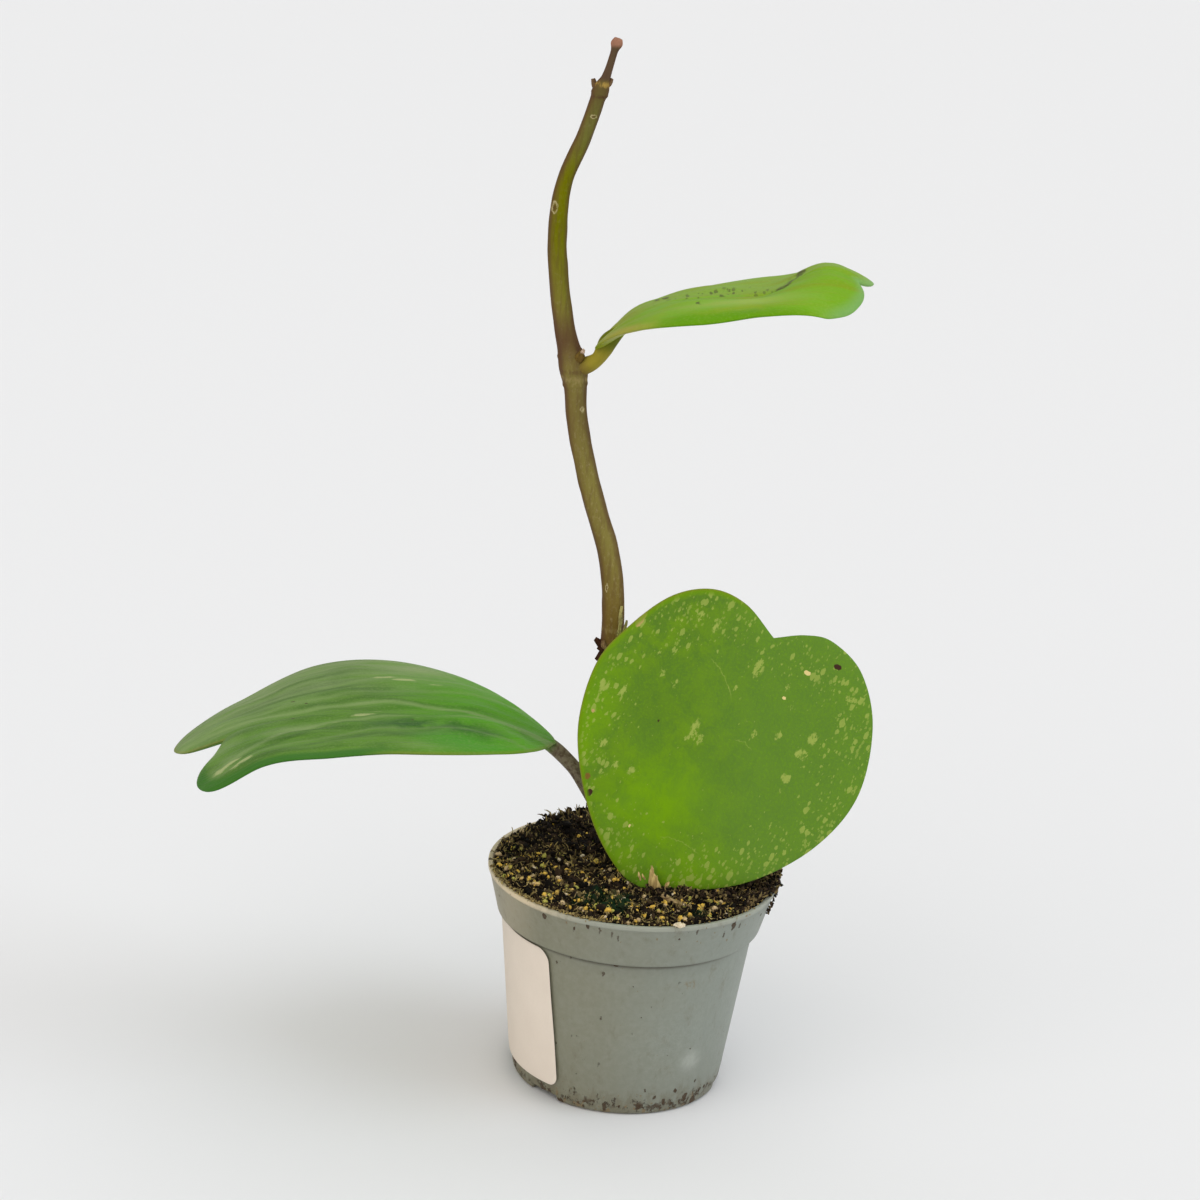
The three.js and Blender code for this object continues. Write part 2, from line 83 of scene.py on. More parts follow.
def rounded(corners, steps=6):
    """Profile from rows of radius, height and fillet. Each corner c gives way to the curve
    a(1-t)^2 + 2ct(1-t) + bt^2, where a and b lie a fillet's length before and after it."""
    rows = np.array(corners, float)
    point, fillet = rows[:, :2], rows[1:-1, 2:]
    back, on = point[:-2] - point[1:-1], point[2:] - point[1:-1]
    start = point[1:-1] + fillet * back / np.linalg.norm(back, axis=1, keepdims=True)
    end = point[1:-1] + fillet * on / np.linalg.norm(on, axis=1, keepdims=True)
    t = np.linspace(0, 1, steps)[:, None, None]
    arcs = start * (1 - t) ** 2 + 2 * point[1:-1] * t * (1 - t) + end * t ** 2
    return np.concatenate([point[:1], arcs.transpose(1, 0, 2).reshape(-1, 2), point[-1:]])


def refined(profile, step):
    """The same line with a further point every step of its length."""
    length = np.concatenate([[0], np.linalg.norm(np.diff(profile, axis=0), axis=1).cumsum()])
    stations = np.union1d(length, np.arange(step, length[-1], step))
    return np.stack([np.interp(stations, length, column) for column in profile.T], -1)


def skin(rings, first, last, **values):
    """Closed skin of rings (rows, around, 3) joined by quads, with a fan to a pole at either end.
    It is turned outwards if the sum of a.(b x c) over its faces comes out negative. Values at the
    rings' points become attributes, and a pole takes the mean of its ring."""
    rows, around = rings.shape[:2]
    points = np.concatenate([rings.reshape(-1, 3), [first], [last]])
    index = np.arange(rows * around).reshape(rows, around)
    beside = np.roll(index, -1, axis=1)
    quads = np.stack([index[:-1], beside[:-1], beside[1:], index[1:]], -1).reshape(-1, 4)
    start_fan = np.stack([beside[0], index[0], np.full(around, rows * around)], -1)
    end_fan = np.stack([index[-1], beside[-1], np.full(around, rows * around + 1)], -1)
    fans = np.concatenate([start_fan, end_fan])
    corners = points[np.concatenate([quads[:, [0, 1, 2]], quads[:, [0, 2, 3]], fans])]
    if np.sum(corners[:, 0] * np.cross(corners[:, 1], corners[:, 2])) < 0:
        quads, fans = quads[:, ::-1], fans[:, ::-1]
    spread = {}
    for key, value in values.items():
        value = np.asarray(value, float)
        value = np.broadcast_to(value, rings.shape[:2] + value.shape[2:])
        flat = value.reshape((rows * around,) + value.shape[2:])
        spread[key] = np.concatenate([flat, value[:1].mean(1), value[-1:].mean(1)])
    return {"points": points, "quads": quads, "fans": fans, "values": spread}


def make_piece(name, skins, finish, slot, replaces=(), smooth=True, sharp=None):
    """One mesh from skins, in metres, that rides on the root body."""
    starts = np.cumsum([0] + [len(s["points"]) for s in skins])[:-1]
    points = np.concatenate([s["points"] for s in skins]) * 0.001
    quads = np.concatenate([s["quads"] + n for s, n in zip(skins, starts)])
    fans = np.concatenate([s["fans"] + n for s, n in zip(skins, starts)])
    corners = np.concatenate([quads.ravel(), fans.ravel()]).astype(np.int32)
    face_starts = np.concatenate([4 * np.arange(len(quads)), quads.size + 3 * np.arange(len(fans))])
    mesh = bpy.data.meshes.new(name)
    mesh.vertices.add(len(points))
    mesh.vertices.foreach_set("co", points.astype(np.float32).ravel())
    mesh.loops.add(len(corners))
    mesh.loops.foreach_set("vertex_index", corners)
    mesh.polygons.add(len(face_starts))
    mesh.polygons.foreach_set("loop_start", face_starts.astype(np.int32))
    mesh.update(calc_edges=True)
    mesh.polygons.foreach_set("use_smooth", np.full(len(face_starts), smooth))
    for key in skins[0]["values"]:
        value = np.concatenate([s["values"][key] for s in skins]).astype(np.float32)
        kind, field = ("FLOAT", "value") if value.ndim == 1 else ("FLOAT_VECTOR", "vector")
        mesh.attributes.new(key, kind, "POINT").data.foreach_set(field, value.ravel())
    if sharp:
        mesh.set_sharp_from_angle(angle=math.radians(sharp))
    piece = bpy.data.objects.new(name, mesh)
    bpy.context.scene.collection.objects.link(piece)
    if finish:
        mesh.materials.append(finish.material)
    if slot:
        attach(piece, "root")
        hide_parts(*replaces)
    return piece


def smoothstep(value, low, high):
    """0 below low, 1 above high and 3t^2 - 2t^3 between them."""
    t = np.clip((value - low) / (high - low), 0, 1)
    return t * t * (3 - 2 * t)


def turned(profile, sides):
    """Rings of revolution about Z, (r cos a, r sin a, z), of a profile that starts and ends on the
    axis, and the two poles."""
    angle = np.linspace(0, 2 * np.pi, sides, endpoint=False)
    radius, height = profile[1:-1, :1], profile[1:-1, 1:]
    places = np.broadcast_arrays(radius * np.cos(angle), radius * np.sin(angle), height)
    return np.stack(places, -1), (0, 0, profile[0, 1]), (0, 0, profile[-1, 1])


class Value:
    """One socket among the nodes. An expression on values adds its Math nodes, and a method draws
    a pattern from the value, which for most of them is a place."""

    def __init__(self, nodes, socket):
        self.nodes = nodes
        self.socket = socket

    def math(self, operation, *terms):
        return self.nodes.node("ShaderNodeMath", {"operation": operation}, dict(enumerate(terms)))

    def __add__(self, other):
        return self.math("ADD", self, other)

    def __radd__(self, other):
        return self.math("ADD", other, self)

    def __sub__(self, other):
        return self.math("SUBTRACT", self, other)

    def __rsub__(self, other):
        return self.math("SUBTRACT", other, self)

    def __mul__(self, other):
        return self.math("MULTIPLY", self, other)

    def __rmul__(self, other):
        return self.math("MULTIPLY", other, self)

    def larger(self, other):
        return self.math("MAXIMUM", self, other)

    def size(self):
        return self.math("ABSOLUTE", self)

    def band(self, low, high):
        """Smooth step from 0 at low to 1 at high."""
        values = {"Value": self, "From Min": low, "From Max": high}
        return self.nodes.node("ShaderNodeMapRange", {"interpolation_type": "SMOOTHSTEP"}, values)

    def near(self, centre, reach):
        """1 at a centre, falling to 0 at a reach from it."""
        return 1 - (self - centre).size().band(0, reach)

    def vectors(self, operation, inputs=None, output=0):
        return self.nodes.node("ShaderNodeVectorMath", {"operation": operation},
                               {0: self, **(inputs or {})}, output)

    def parts(self):
        split = self.nodes.node("ShaderNodeSeparateXYZ", {}, {0: self}).socket.node
        return [Value(self.nodes, socket) for socket in split.outputs]

    def stretched(self, scale=(1, 1, 1), turn=(0, 0, 0), shift=(0, 0, 0)):
        settings = {0: self, 1: shift, 2: [math.radians(a) for a in turn], 3: scale}
        return self.nodes.node("ShaderNodeMapping", {}, settings)

    def noise(self, size, detail=3, rough=0.55, output=0):
        values = {"Vector": self, "Scale": 1 / size, "Detail": detail, "Roughness": rough}
        return self.nodes.node("ShaderNodeTexNoise", {}, values, output)

    def cells(self, size, output="Distance"):
        values = {"Vector": self, "Scale": 1 / size}
        return self.nodes.node("ShaderNodeTexVoronoi", {}, values, output)

    def patch(self, centre, reach):
        """1 at a centre, falling to 0 at a reach along each axis. A third axis that isn't given
        does not count."""
        shift = [-c / r for c, r in zip(centre, reach)] + [0]
        scale = [1 / r for r in reach] + [0]
        local = self.stretched(scale[:3], shift=shift[:3])
        return 1 - local.vectors("LENGTH", output="Value").band(0, 1)

    def bent(self, size, amount):
        """A place pushed aside at random by up to about an amount, so that a pattern is ragged."""
        push = self.noise(size, 4, 0.5, "Color").vectors("SUBTRACT", {1: (0.5, 0.5, 0.5)})
        return push.vectors("MULTIPLY_ADD", {1: [2 * amount] * 3, 2: self})

    def flecks(self, cell, share):
        """Separate ragged spots, one in a cell, whose radius is a share of the cell times the
        square of a random number from 0 to 1."""
        chance = self.cells(cell, "Color").parts()[0]
        return (share * chance * chance - self.cells(cell)).band(0, 0.05)


class Nodes:
    """The nodes of a material or of the world, which end in one shader."""

    def __init__(self, owner, shader):
        owner.use_nodes = True
        self.tree = owner.node_tree
        self.shader = self.tree.nodes[shader]

    def node(self, kind, settings=None, inputs=None, output=0):
        node = self.tree.nodes.new(kind)
        for key, value in (settings or {}).items():
            setattr(node, key, value)
        for key, value in (inputs or {}).items():
            if isinstance(value, Value):
                self.tree.links.new(value.socket, node.inputs[key])
            else:
                node.inputs[key].default_value = value
        return Value(self, node.outputs[output])

    def mix(self, mask, first, second):
        return self.node("ShaderNodeMix", {"data_type": "RGBA"}, {0: mask, 6: first, 7: second}, 2)

    def feed(self, key, value):
        self.tree.links.new(value.socket, self.shader.inputs[key])


class Finish(Nodes):
    """A material whose colour is laid on in coats over a ground colour. Constants are set on the
    Principled shader's own sockets."""

    def __init__(self, name, ground, **constants):
        self.material = bpy.data.materials.new(name)
        super().__init__(self.material, "Principled BSDF")
        self.colour = ground
        for key, value in {"Base_Color": ground, **constants}.items():
            self.shader.inputs[key.replace("_", " ")].default_value = value

    def place(self):
        """Object coordinates in millimetres."""
        metres = self.node("ShaderNodeTexCoord", output="Object")
        return metres.vectors("SCALE", {"Scale": 1000})

    def attribute(self, name, output="Fac"):
        return self.node("ShaderNodeAttribute", {"attribute_name": name}, output=output)

    def coat(self, mask, colour):
        """Lay a colour over the ones below it, as thick as a mask from 0 to 1."""
        self.colour = self.mix(mask, self.colour, colour)

    def dress(self, roughness, height, depth):
        """Feed the shader the coats, a roughness, and a bump whose height of 1 stands for a depth
        in millimetres."""
        self.feed("Base Color", self.colour)
        self.feed("Roughness", roughness)
        values = {"Height": height, "Distance": depth * 0.001, "Strength": 1}
        self.feed("Normal", self.node("ShaderNodeBump", {}, values))


plastic = Finish("grey_pot_plastic", POT_WARM, IOR=1.49, Specular_IOR_Level=0.4)
spot = plastic.place()
x, _, z = spot.parts()
mottle = spot.noise(9, 3)
grain = spot.noise(0.35, 2)
pebble = spot.noise(1.3, 5, 0.7)
# painted light: the body turns cooler towards the right and warmer on the left, as the lamps at
# either side would light it
plastic.coat((x + mottle * 14).band(-16, 30), POT_RIGHT_COOL_LIGHT)
plastic.coat((x * -1).band(17, 25) * 0.85, POT_LEFT_WARM_LIGHT)
plastic.coat(pebble.band(0.35, 0.7) * 0.09, POT_SCUFF)
# painted highlight along the top of the lip, warm cream towards the left
lip = plastic.mix((x * -1).band(8, 24), POT_LIP_HIGHLIGHT, POT_LIP_WARM_HIGHLIGHT)
plastic.coat(z.band(44.2, 45.1) * 0.85, lip)
rubbed = spot.patch((8, -20, 16), (16, 10, 16)) * 0.25
rubbed = spot.patch(SCUFF_PLACE, (5, 5, 5)).larger(rubbed)
scuff = spot.stretched((0.5, 0.5, 0.5)).noise(1, 5, 0.7).near(0.5, 0.06) * rubbed
haze = spot.bent(2, 0.8).patch(SCUFF_PLACE, (4.2, 4.2, 4.2)) * (pebble + mottle)
plastic.coat((scuff * 0.4).larger(haze * 0.5), POT_SCUFF)
foot = 1 - z.band(0.5, 8)
plastic.coat((1 - z.band(2, 20)) * 0.13, DIRT_FILM)
rim = z.band(37.5, 44)
# the strip on the body just under the band's step, where a painted shade line lies and dirt flecks
# gather
step_line = z.near(35.35, 0.95)
film = spot.stretched((1, 1, 0.55)).bent(3, 1.2).noise(2.8, 6, 0.72)
plastic.coat((film + foot * 0.28 + rim * 0.04).band(0.53, 0.80) * 0.52, DIRT_FILM)
ragged = spot.stretched((1, 1, 0.7)).bent(0.8, 0.45)
crowd = spot.noise(4.5, 3, 0.6)
flecks = ragged.flecks(2.1, crowd * (0.30 + 0.9 * foot + 0.3 * rim + 0.3 * step_line))
fine_flecks = ragged.flecks(0.9, crowd * (0.22 + 1.1 * foot * foot + 0.35 * rim))
crust = ragged.noise(1.5, 6, 0.75) + 0.17 * z.near(2.2, 3.6)
crust = crust.band(0.67, 0.72) * crowd.band(0.36, 0.52)
streak_place = spot.bent(0.5, 0.45)
drips = 0
for place, streak_reach in POT_STREAKS:
    drips = streak_place.patch(place, (0.42, 0.5, streak_reach)).larger(drips)
drips = (drips * (0.1 + 1.6 * pebble)).band(0.25, 0.6)
smear = ragged.noise(1.1, 5, 0.7).band(0.5, 0.6) * spot.patch((13.1, -21.8, 30.3), (4.6, 4.6, 1.5))
plastic.coat(smear.larger(fine_flecks) * 0.7, DIRT_TAN)
# painted shade: a dark line under the band's overhang
plastic.coat(step_line * 0.9, POT_STEP_SHADE)
soiled = flecks.larger(crust).larger(drips * 0.75)
plastic.coat(soiled * (0.55 + pebble * 0.7), DIRT)
plastic.dress(0.40 + soiled * 0.4 + mottle * 0.16, grain * 0.35 + film * 0.5 + soiled * 2.0, 0.07)

profile = refined(rounded(POT_CORNERS), step=1.6)
rings, low_pole, high_pole = turned(profile, POT_SIDES)
outside = (np.arange(len(rings)) < np.argmax(rings[:, 0, 2]))[:, None]
lift = np.zeros(rings.shape[:2])
for degrees in CHANNEL_ANGLES:
    out = np.array([math.cos(math.radians(degrees)), math.sin(math.radians(degrees))])
    along, across = rings[..., :2] @ out, np.abs(rings[..., :2] @ (out[1], -out[0]))
    channel = smoothstep(-across, -CHANNEL_WIDTH / 2 - 0.25, -CHANNEL_WIDTH / 2 + 0.25)
    lift = np.maximum(lift, channel * smoothstep(along, CHANNEL_START - 0.5, CHANNEL_START + 0.5))
rings[..., 2] += outside * CHANNEL_DEPTH * lift * np.clip(1 - rings[..., 2] / 3, 0, 1)
pot = make_piece("nursery_pot", [skin(rings, low_pole, high_pole)], plastic, "pot_plastic",
                 ["pot"], sharp=50)
drill, foot_pole, top_pole = turned(np.array(DRAIN_DRILL), DRAIN_SIDES)
drills = []
for degrees in CHANNEL_ANGLES:
    turn = math.radians(degrees)
    reach = np.array([DRAIN_PLACE * math.cos(turn), DRAIN_PLACE * math.sin(turn), 0])
    drills.append(skin(drill + reach, foot_pole + reach, top_pole + reach))
drill_set = make_piece("drill_set", drills, None, None)
cut = pot.modifiers.new("drain holes", "BOOLEAN")
cut.object = drill_set
cut.solver = "EXACT"
drilled = bpy.data.meshes.new_from_object(pot.evaluated_get(bpy.context.evaluated_depsgraph_get()))
pot.modifiers.clear()
pot.data = drilled
bpy.data.objects.remove(drill_set)


# The label
# A bare strip of white paper with rounded corners, stuck round the left of the body and lifting a
# little at its front edge.
LABEL_HEIGHT = 31
LABEL_FOOT = 3.8
LABEL_THICKNESS = 0.26
LABEL_GAP = 0.3
LABEL_CORNER = 2.6
LABEL_FRONT_ANGLE = 239
LABEL_BACK_ANGLE = 106
LABEL_LEAN = 6
LABEL_LIFT = 0.22
PAPER_WHITE = (0.86, 0.76, 0.66, 1)
PAPER_SHADE = (0.73, 0.63, 0.54, 1)


def spline(rows, share):
    """Catmull-Rom curve through the rows at shares from 0 to 1. Between two rows it is the cubic
    whose slope at a row is half the step from the row before to the row after."""
    p = np.asarray(rows, float)
    q = np.vstack([2 * p[0] - p[1], p, 2 * p[-1] - p[-2]])
    s = np.clip(share, 0, 1) * (len(p) - 1)
    i = np.minimum(s.astype(int), len(p) - 2)
    w = (s - i)[..., None]
    a, b, c, d = q[i], q[i + 1], q[i + 2], q[i + 3]
    slope, next_slope = (c - a) / 2, (d - b) / 2
    cubic = 2 * b - 2 * c + slope + next_slope
    square = 3 * c - 3 * b - 2 * slope - next_slope
    return ((cubic * w + square) * w + slope) * w + b


def even_line(rows, count):
    """Points of the spline at equal lengths."""
    fine = spline(rows, np.linspace(0, 1, 4000))
    length = np.concatenate([[0], np.linalg.norm(np.diff(fine[:, :3], axis=0), axis=1).cumsum()])
    stations = np.linspace(0, length[-1], count)
    return np.stack([np.interp(stations, length, column) for column in fine.T], -1)


def pressed(edge, middle, rings):
    """A ball pressed flat to an outline: u and v of its points, their reach from 0 at the middle to
    1 at the edge, and the face they are on, 1 for the first pole's, -1 for the last's."""
    turn = np.linspace(0, np.pi, 2 * rings + 1)[1:-1, None]
    reach = np.sin(turn)
    u = middle + (edge[:, 0] - middle) * reach
    v = edge[:, 1] * reach
    face = np.sign(np.cos(turn)).round()
    return u, v, np.broadcast_to(reach, u.shape), np.broadcast_to(face, u.shape)


def body_radius(height):
    """Outer radius of the pot's body at a height."""
    return 21.9 + 4.2 * height / 35.8


paper = Finish("bare_label_paper", PAPER_WHITE, IOR=1.45)
spot = paper.place()
fibre = spot.stretched((1, 1, 0.5)).noise(0.5, 4, 0.7)
cloud = spot.noise(9, 2)
paper.coat(cloud * 0.6 + fibre * 0.3, PAPER_SHADE)
paper.dress(0.62 + fibre * 0.15, fibre + cloud * 2, 0.03)

half_width = math.radians(LABEL_FRONT_ANGLE - LABEL_BACK_ANGLE) * body_radius(18) / 2
half_height = LABEL_HEIGHT / 2
turn = np.linspace(0, np.pi / 2, 10)
corner = LABEL_CORNER * np.stack([np.cos(turn) - 1, np.sin(turn) - 1], -1)
corner += (half_width, half_height)
flip = np.array([-1, 1])
outline = np.concatenate([corner, (corner * flip)[::-1], -corner, (corner * -flip)[::-1]])
outline = refined(np.concatenate([outline, outline[:1]]), step=0.8)[:-1]
u, v, reach, side = pressed(outline, middle=0, rings=26)
height = LABEL_FOOT + half_height + v
share = (u / half_width + 1) / 2
degrees = LABEL_BACK_ANGLE + (LABEL_FRONT_ANGLE - LABEL_BACK_ANGLE) * share
angle = np.radians(degrees - LABEL_LEAN * (height - LABEL_FOOT) / LABEL_HEIGHT)
lift = LABEL_LIFT * smoothstep(share, 0.955, 1)
lift += 0.05 * np.sin(height / 3.1) * smoothstep(share, 0.9, 1)
half = LABEL_THICKNESS / 2 * np.sqrt(1 - reach ** 40)
radius = body_radius(height) + LABEL_GAP + LABEL_THICKNESS / 2 + lift + side * half
rings = np.stack([radius * np.cos(angle), radius * np.sin(angle), height], -1)
make_piece("paper_label", [skin(rings, rings[0].mean(0), rings[-1].mean(0))], paper, "label_paper",
           ["label"], sharp=60)


# The soil
# Dark, fibrous potting mix filling the pot to the lip, heaped behind the plant and spilling over
# the lip at the right, strewn with golden flakes of expanded mineral and a few white grains.
SOIL_LEVEL = POT_HEIGHT - 0.4
SOIL_REACH = 28.9
LIP_MIDDLE = 29.1
LIP_OUTSIDE = 30
SOIL_SIDES = 260
SOIL_SEED = 11
CRUMBS, BANK_CRUMBS, FOOT_CRUMBS, HEEL_CRUMBS, CLODS = 6400, 700, 420, 150, 300
DUST, BRISTLES, SHREDS = 7200, 1500, 5200
GRAINS, BIG_GRAINS, WHITE_BITS = 5200, 1200, 14
# from one direction to another in degrees, and how many
LIP_CRUMBS = [(190, 262, 460), (262, 480, 180)]
LIP_FRINGE = [(74, 134, 400), (-32, 12, 220)]
# direction in degrees, lowest point and number of crumbs
HANGING_STRINGS = [(-13, 40.6, 40), (-5, 43.2, 16)]
SOIL_DARK = (0.0048, 0.0032, 0.0022, 1)
SOIL_BROWN = (0.052, 0.031, 0.0175, 1)
SOIL_TAN = (0.34, 0.225, 0.11, 1)
SOIL_OLIVE = (0.170, 0.155, 0.045, 1)
SOIL_STRAW = (0.50, 0.38, 0.15, 1)
SOIL_GREEN = (0.006, 0.030, 0.009, 1)
GRAIN_GOLD = (0.82, 0.52, 0.08, 1)
GRAIN_OLIVE = (0.50, 0.46, 0.09, 1)
GRAIN_TAN = (0.62, 0.45, 0.24, 1)
GRAIN_PALE = (0.84, 0.72, 0.53, 1)


def waves(place, length, seed, count=22):
    """Smooth random height, mostly from -1 to 1: sine waves of about one length added up, each
    with a random direction and start."""
    rng = np.random.default_rng(seed)
    direction = rng.normal(size=(count, place.shape[-1]))
    direction /= np.linalg.norm(direction, axis=1, keepdims=True)
    pace = 2 * np.pi / (length * rng.uniform(0.7, 1.4, count))
    phase = (place @ direction.T) * pace + rng.uniform(0, 2 * np.pi, count)
    return np.sin(phase).sum(-1) / math.sqrt(count)


def soil_height(x, y):
    """Level, plus a heap in the middle, a rise at the back, the spill at the right, fine waves."""
    heap = 1.5 * (1 - (x * x + y * y) / 900)
    back = 1.1 * smoothstep(y, 4, 26)
    spill = 1.3 * np.exp(-(((x - 25) / 9) ** 2) - ((y + 5) / 11) ** 2)
    ripple = 0.35 * (np.sin(0.9 * x + 1.3) * np.cos(0.8 * y) + np.sin(0.53 * y - 0.4 * x))
    return SOIL_LEVEL + heap + back + spill + ripple


def on_soil(x, y, above):
    """Points at a height above the soil."""
    return np.stack([x, y, soil_height(x, y) + above], -1)


def around_pot(degrees, radius, height):
    """Points about the pot's axis."""
    turn = np.radians(degrees)
    return np.stack([radius * np.cos(turn), radius * np.sin(turn), height], -1)


def band_radius(height):
    """Outer radius of the pot's band and lip at a height."""
    return np.minimum(27.45 + (height - 35.75) * 0.261, LIP_OUTSIDE)


def turned_any_way(rng, count):
    """Random rotation matrices, from random unit quaternions."""
    q = rng.normal(size=(count, 4))
    a, b, c, d = (q / np.linalg.norm(q, axis=1, keepdims=True)).T
    rows = [1 - 2 * (c * c + d * d), 2 * (b * c - a * d), 2 * (b * d + a * c),
            2 * (b * c + a * d), 1 - 2 * (b * b + d * d), 2 * (c * d - a * b),
            2 * (b * d - a * c), 2 * (c * d + a * b), 1 - 2 * (b * b + c * c)]
    return np.stack(rows, -1).reshape(count, 3, 3)


def lumps(rng, places, sizes, flatness=0.7, raggedness=0.3, longest=1.3, **values):
    """Rough twenty-sided lumps: each point of the solid is moved in or out at random, then the lump
    is flattened, turned any way, scaled and put in its place."""
    g = (1 + math.sqrt(5)) / 2
    ball = np.array([(-1, g, 0), (1, g, 0), (-1, -g, 0), (1, -g, 0), (0, -1, g), (0, 1, g),
                     (0, -1, -g), (0, 1, -g), (g, 0, -1), (g, 0, 1), (-g, 0, -1), (-g, 0, 1)])
    faces = np.array([
        (0, 11, 5), (0, 5, 1), (0, 1, 7), (0, 7, 10), (0, 10, 11), (1, 5, 9), (5, 11, 4),
        (11, 10, 2), (10, 7, 6), (7, 1, 8), (3, 9, 4), (3, 4, 2), (3, 2, 6), (3, 6, 8),
        (3, 8, 9), (4, 9, 5), (2, 4, 11), (6, 2, 10), (8, 6, 7), (9, 8, 1),
    ])
    ball = ball / np.linalg.norm(ball[0])
    count = len(places)
    rough = ball * rng.uniform(1 - raggedness, 1 + raggedness, (count, 12, 1))
    rough = rough * np.stack([rng.uniform(1, longest, count), rng.uniform(0.6, 1, count),
                              rng.uniform(0.8, 1.2, count) * flatness], -1)[:, None]
    shaped = np.einsum("nij,nkj->nki", turned_any_way(rng, count), rough)
    points = (shaped * np.reshape(sizes, (-1, 1, 1)) + places[:, None]).reshape(-1, 3)
    fans = (faces + 12 * np.arange(count)[:, None, None]).reshape(-1, 3)
    spread = {key: np.repeat(value, 12, axis=0) for key, value in values.items()}
    return {"points": points, "quads": np.zeros((0, 4), int), "fans": fans, "values": spread}


def scattered(rng, count, reach):
    """Random x and y spread evenly over a disc, and their distance from its middle."""
    turn, radius = rng.uniform(0, 2 * np.pi, count), reach * np.sqrt(rng.random(count))
    return radius * np.cos(turn), radius * np.sin(turn), radius


def clumped(x, y):
    """0 to 1: where the litter and the grains lie thick, a smooth step of waves of about 4.5 mm."""
    return smoothstep(waves(np.stack([x, y], -1), 4.5, 21), -0.45, 0.75)


def fibres(rng, places, lengths, thickness, directions, **values):
    """Thin three-sided bristles that taper to both ends and bend: centre + t*length*direction +
    bend*(4t^2 - 4t), with radius thickness*(0.35 + 0.65 sin(pi t))."""
    count, steps = len(places), 5
    along = directions / np.linalg.norm(directions, axis=1, keepdims=True)
    side = np.cross(along, rng.normal(size=(count, 3)))
    side /= np.linalg.norm(side, axis=1, keepdims=True)
    other = np.cross(along, side)
    t = np.linspace(0, 1, steps)[None, :, None, None]
    turn = (2 * np.pi * np.arange(3) / 3)[None, None, :, None]
    reach = thickness * (0.35 + 0.65 * np.sin(np.pi * t))
    bend = rng.uniform(-0.2, 0.2, (count, 1, 1, 1)) * np.reshape(lengths, (-1, 1, 1, 1))
    centre = places[:, None, None] + t * np.reshape(lengths, (-1, 1, 1, 1)) * along[:, None, None]
    centre = centre + bend * (4 * t * t - 4 * t) * side[:, None, None]
    ring = np.cos(turn) * side[:, None, None] + np.sin(turn) * other[:, None, None]
    points = (centre + reach * ring).reshape(-1, 3)
    index = np.arange(steps * 3).reshape(steps, 3)
    beside = np.roll(index, -1, axis=1)
    walls = np.stack([index[:-1], beside[:-1], beside[1:], index[1:]], -1).reshape(-1, 4)
    caps = np.array([index[0][::-1], index[-1]])
    start = 3 * steps * np.arange(count)[:, None, None]
    spread = {key: np.repeat(value, 3 * steps, axis=0) for key, value in values.items()}
    return {"points": points, "quads": (walls + start).reshape(-1, 4),
            "fans": (caps + start).reshape(-1, 3), "values": spread}


earth = Finish("dark_potting_mix", SOIL_DARK, IOR=1.4, Specular_IOR_Level=0.2)
spot = earth.place()
tone = earth.attribute("tone")
crumble = spot.noise(0.6, 5, 0.75)
earth.coat((tone * 0.8 + crumble * 0.5).band(0.4, 1.05), SOIL_BROWN)
mossy = spot.patch((13, -23, 46.5), (9, 6, 9)) * 0.8
mossy = spot.patch((-5, -20, 46.5), (15, 11, 9)).larger(mossy)
earth.coat((spot.noise(3, 3) * mossy).band(0.26, 0.46) * 0.9, SOIL_GREEN)
litter = earth.mix(spot.noise(2.5, 2), SOIL_OLIVE, SOIL_TAN)
earth.coat((tone + crumble * 0.4).band(1.05, 1.5), litter)
earth.coat((tone + crumble * 0.4).band(1.9, 2.3), SOIL_STRAW)
earth.dress(0.75 + crumble * 0.2, crumble, 0.4)

mineral = Finish("golden_mineral_grain", GRAIN_OLIVE, IOR=1.5, Specular_IOR_Level=0.35)
spot = mineral.place()
tone = mineral.attribute("tone")
layer = spot.stretched((0.5, 0.5, 3)).noise(0.6, 4, 0.7)
mineral.coat(tone.band(0.28, 0.34), GRAIN_GOLD)
mineral.coat(tone.band(0.55, 0.75), GRAIN_TAN)
mineral.coat(tone.band(0.88, 0.97), GRAIN_PALE)
mineral.coat(layer.band(0.50, 0.75) * 0.4, SOIL_BROWN)
mineral.dress(0.45 + layer * 0.3, layer, 0.2)

rng = np.random.default_rng(SOIL_SEED)
soil_profile = refined(rounded([
    (0, 2.6, 0), (20.0, 2.6, 1.2), (24.9, 35.4, 0.6), (26.3, 37.5, 0.6), (28.7, SOIL_LEVEL, 0.3),
    (0, SOIL_LEVEL, 0),
]), step=0.55)
rings, low_pole, high_pole = turned(soil_profile, SOIL_SIDES)
surface = smoothstep(rings[..., 2], SOIL_LEVEL - 1.5, SOIL_LEVEL - 0.1)
flat = rings[..., :2]
rough = 0.30 * waves(flat, 2.2, 1) + 0.18 * waves(flat, 1.1, 2) + 0.35 * waves(flat, 5, 3)
inner = smoothstep(-np.hypot(flat[..., 0], flat[..., 1]), -28.7, -26.5)
rings[..., 2] += surface * (soil_height(flat[..., 0], flat[..., 1]) - SOIL_LEVEL + rough * inner)
high_pole = (0, 0, soil_height(np.zeros(1), np.zeros(1))[0])
plug = skin(rings, low_pole, high_pole, tone=0.35 + 0.25 * waves(flat, 3, 4))

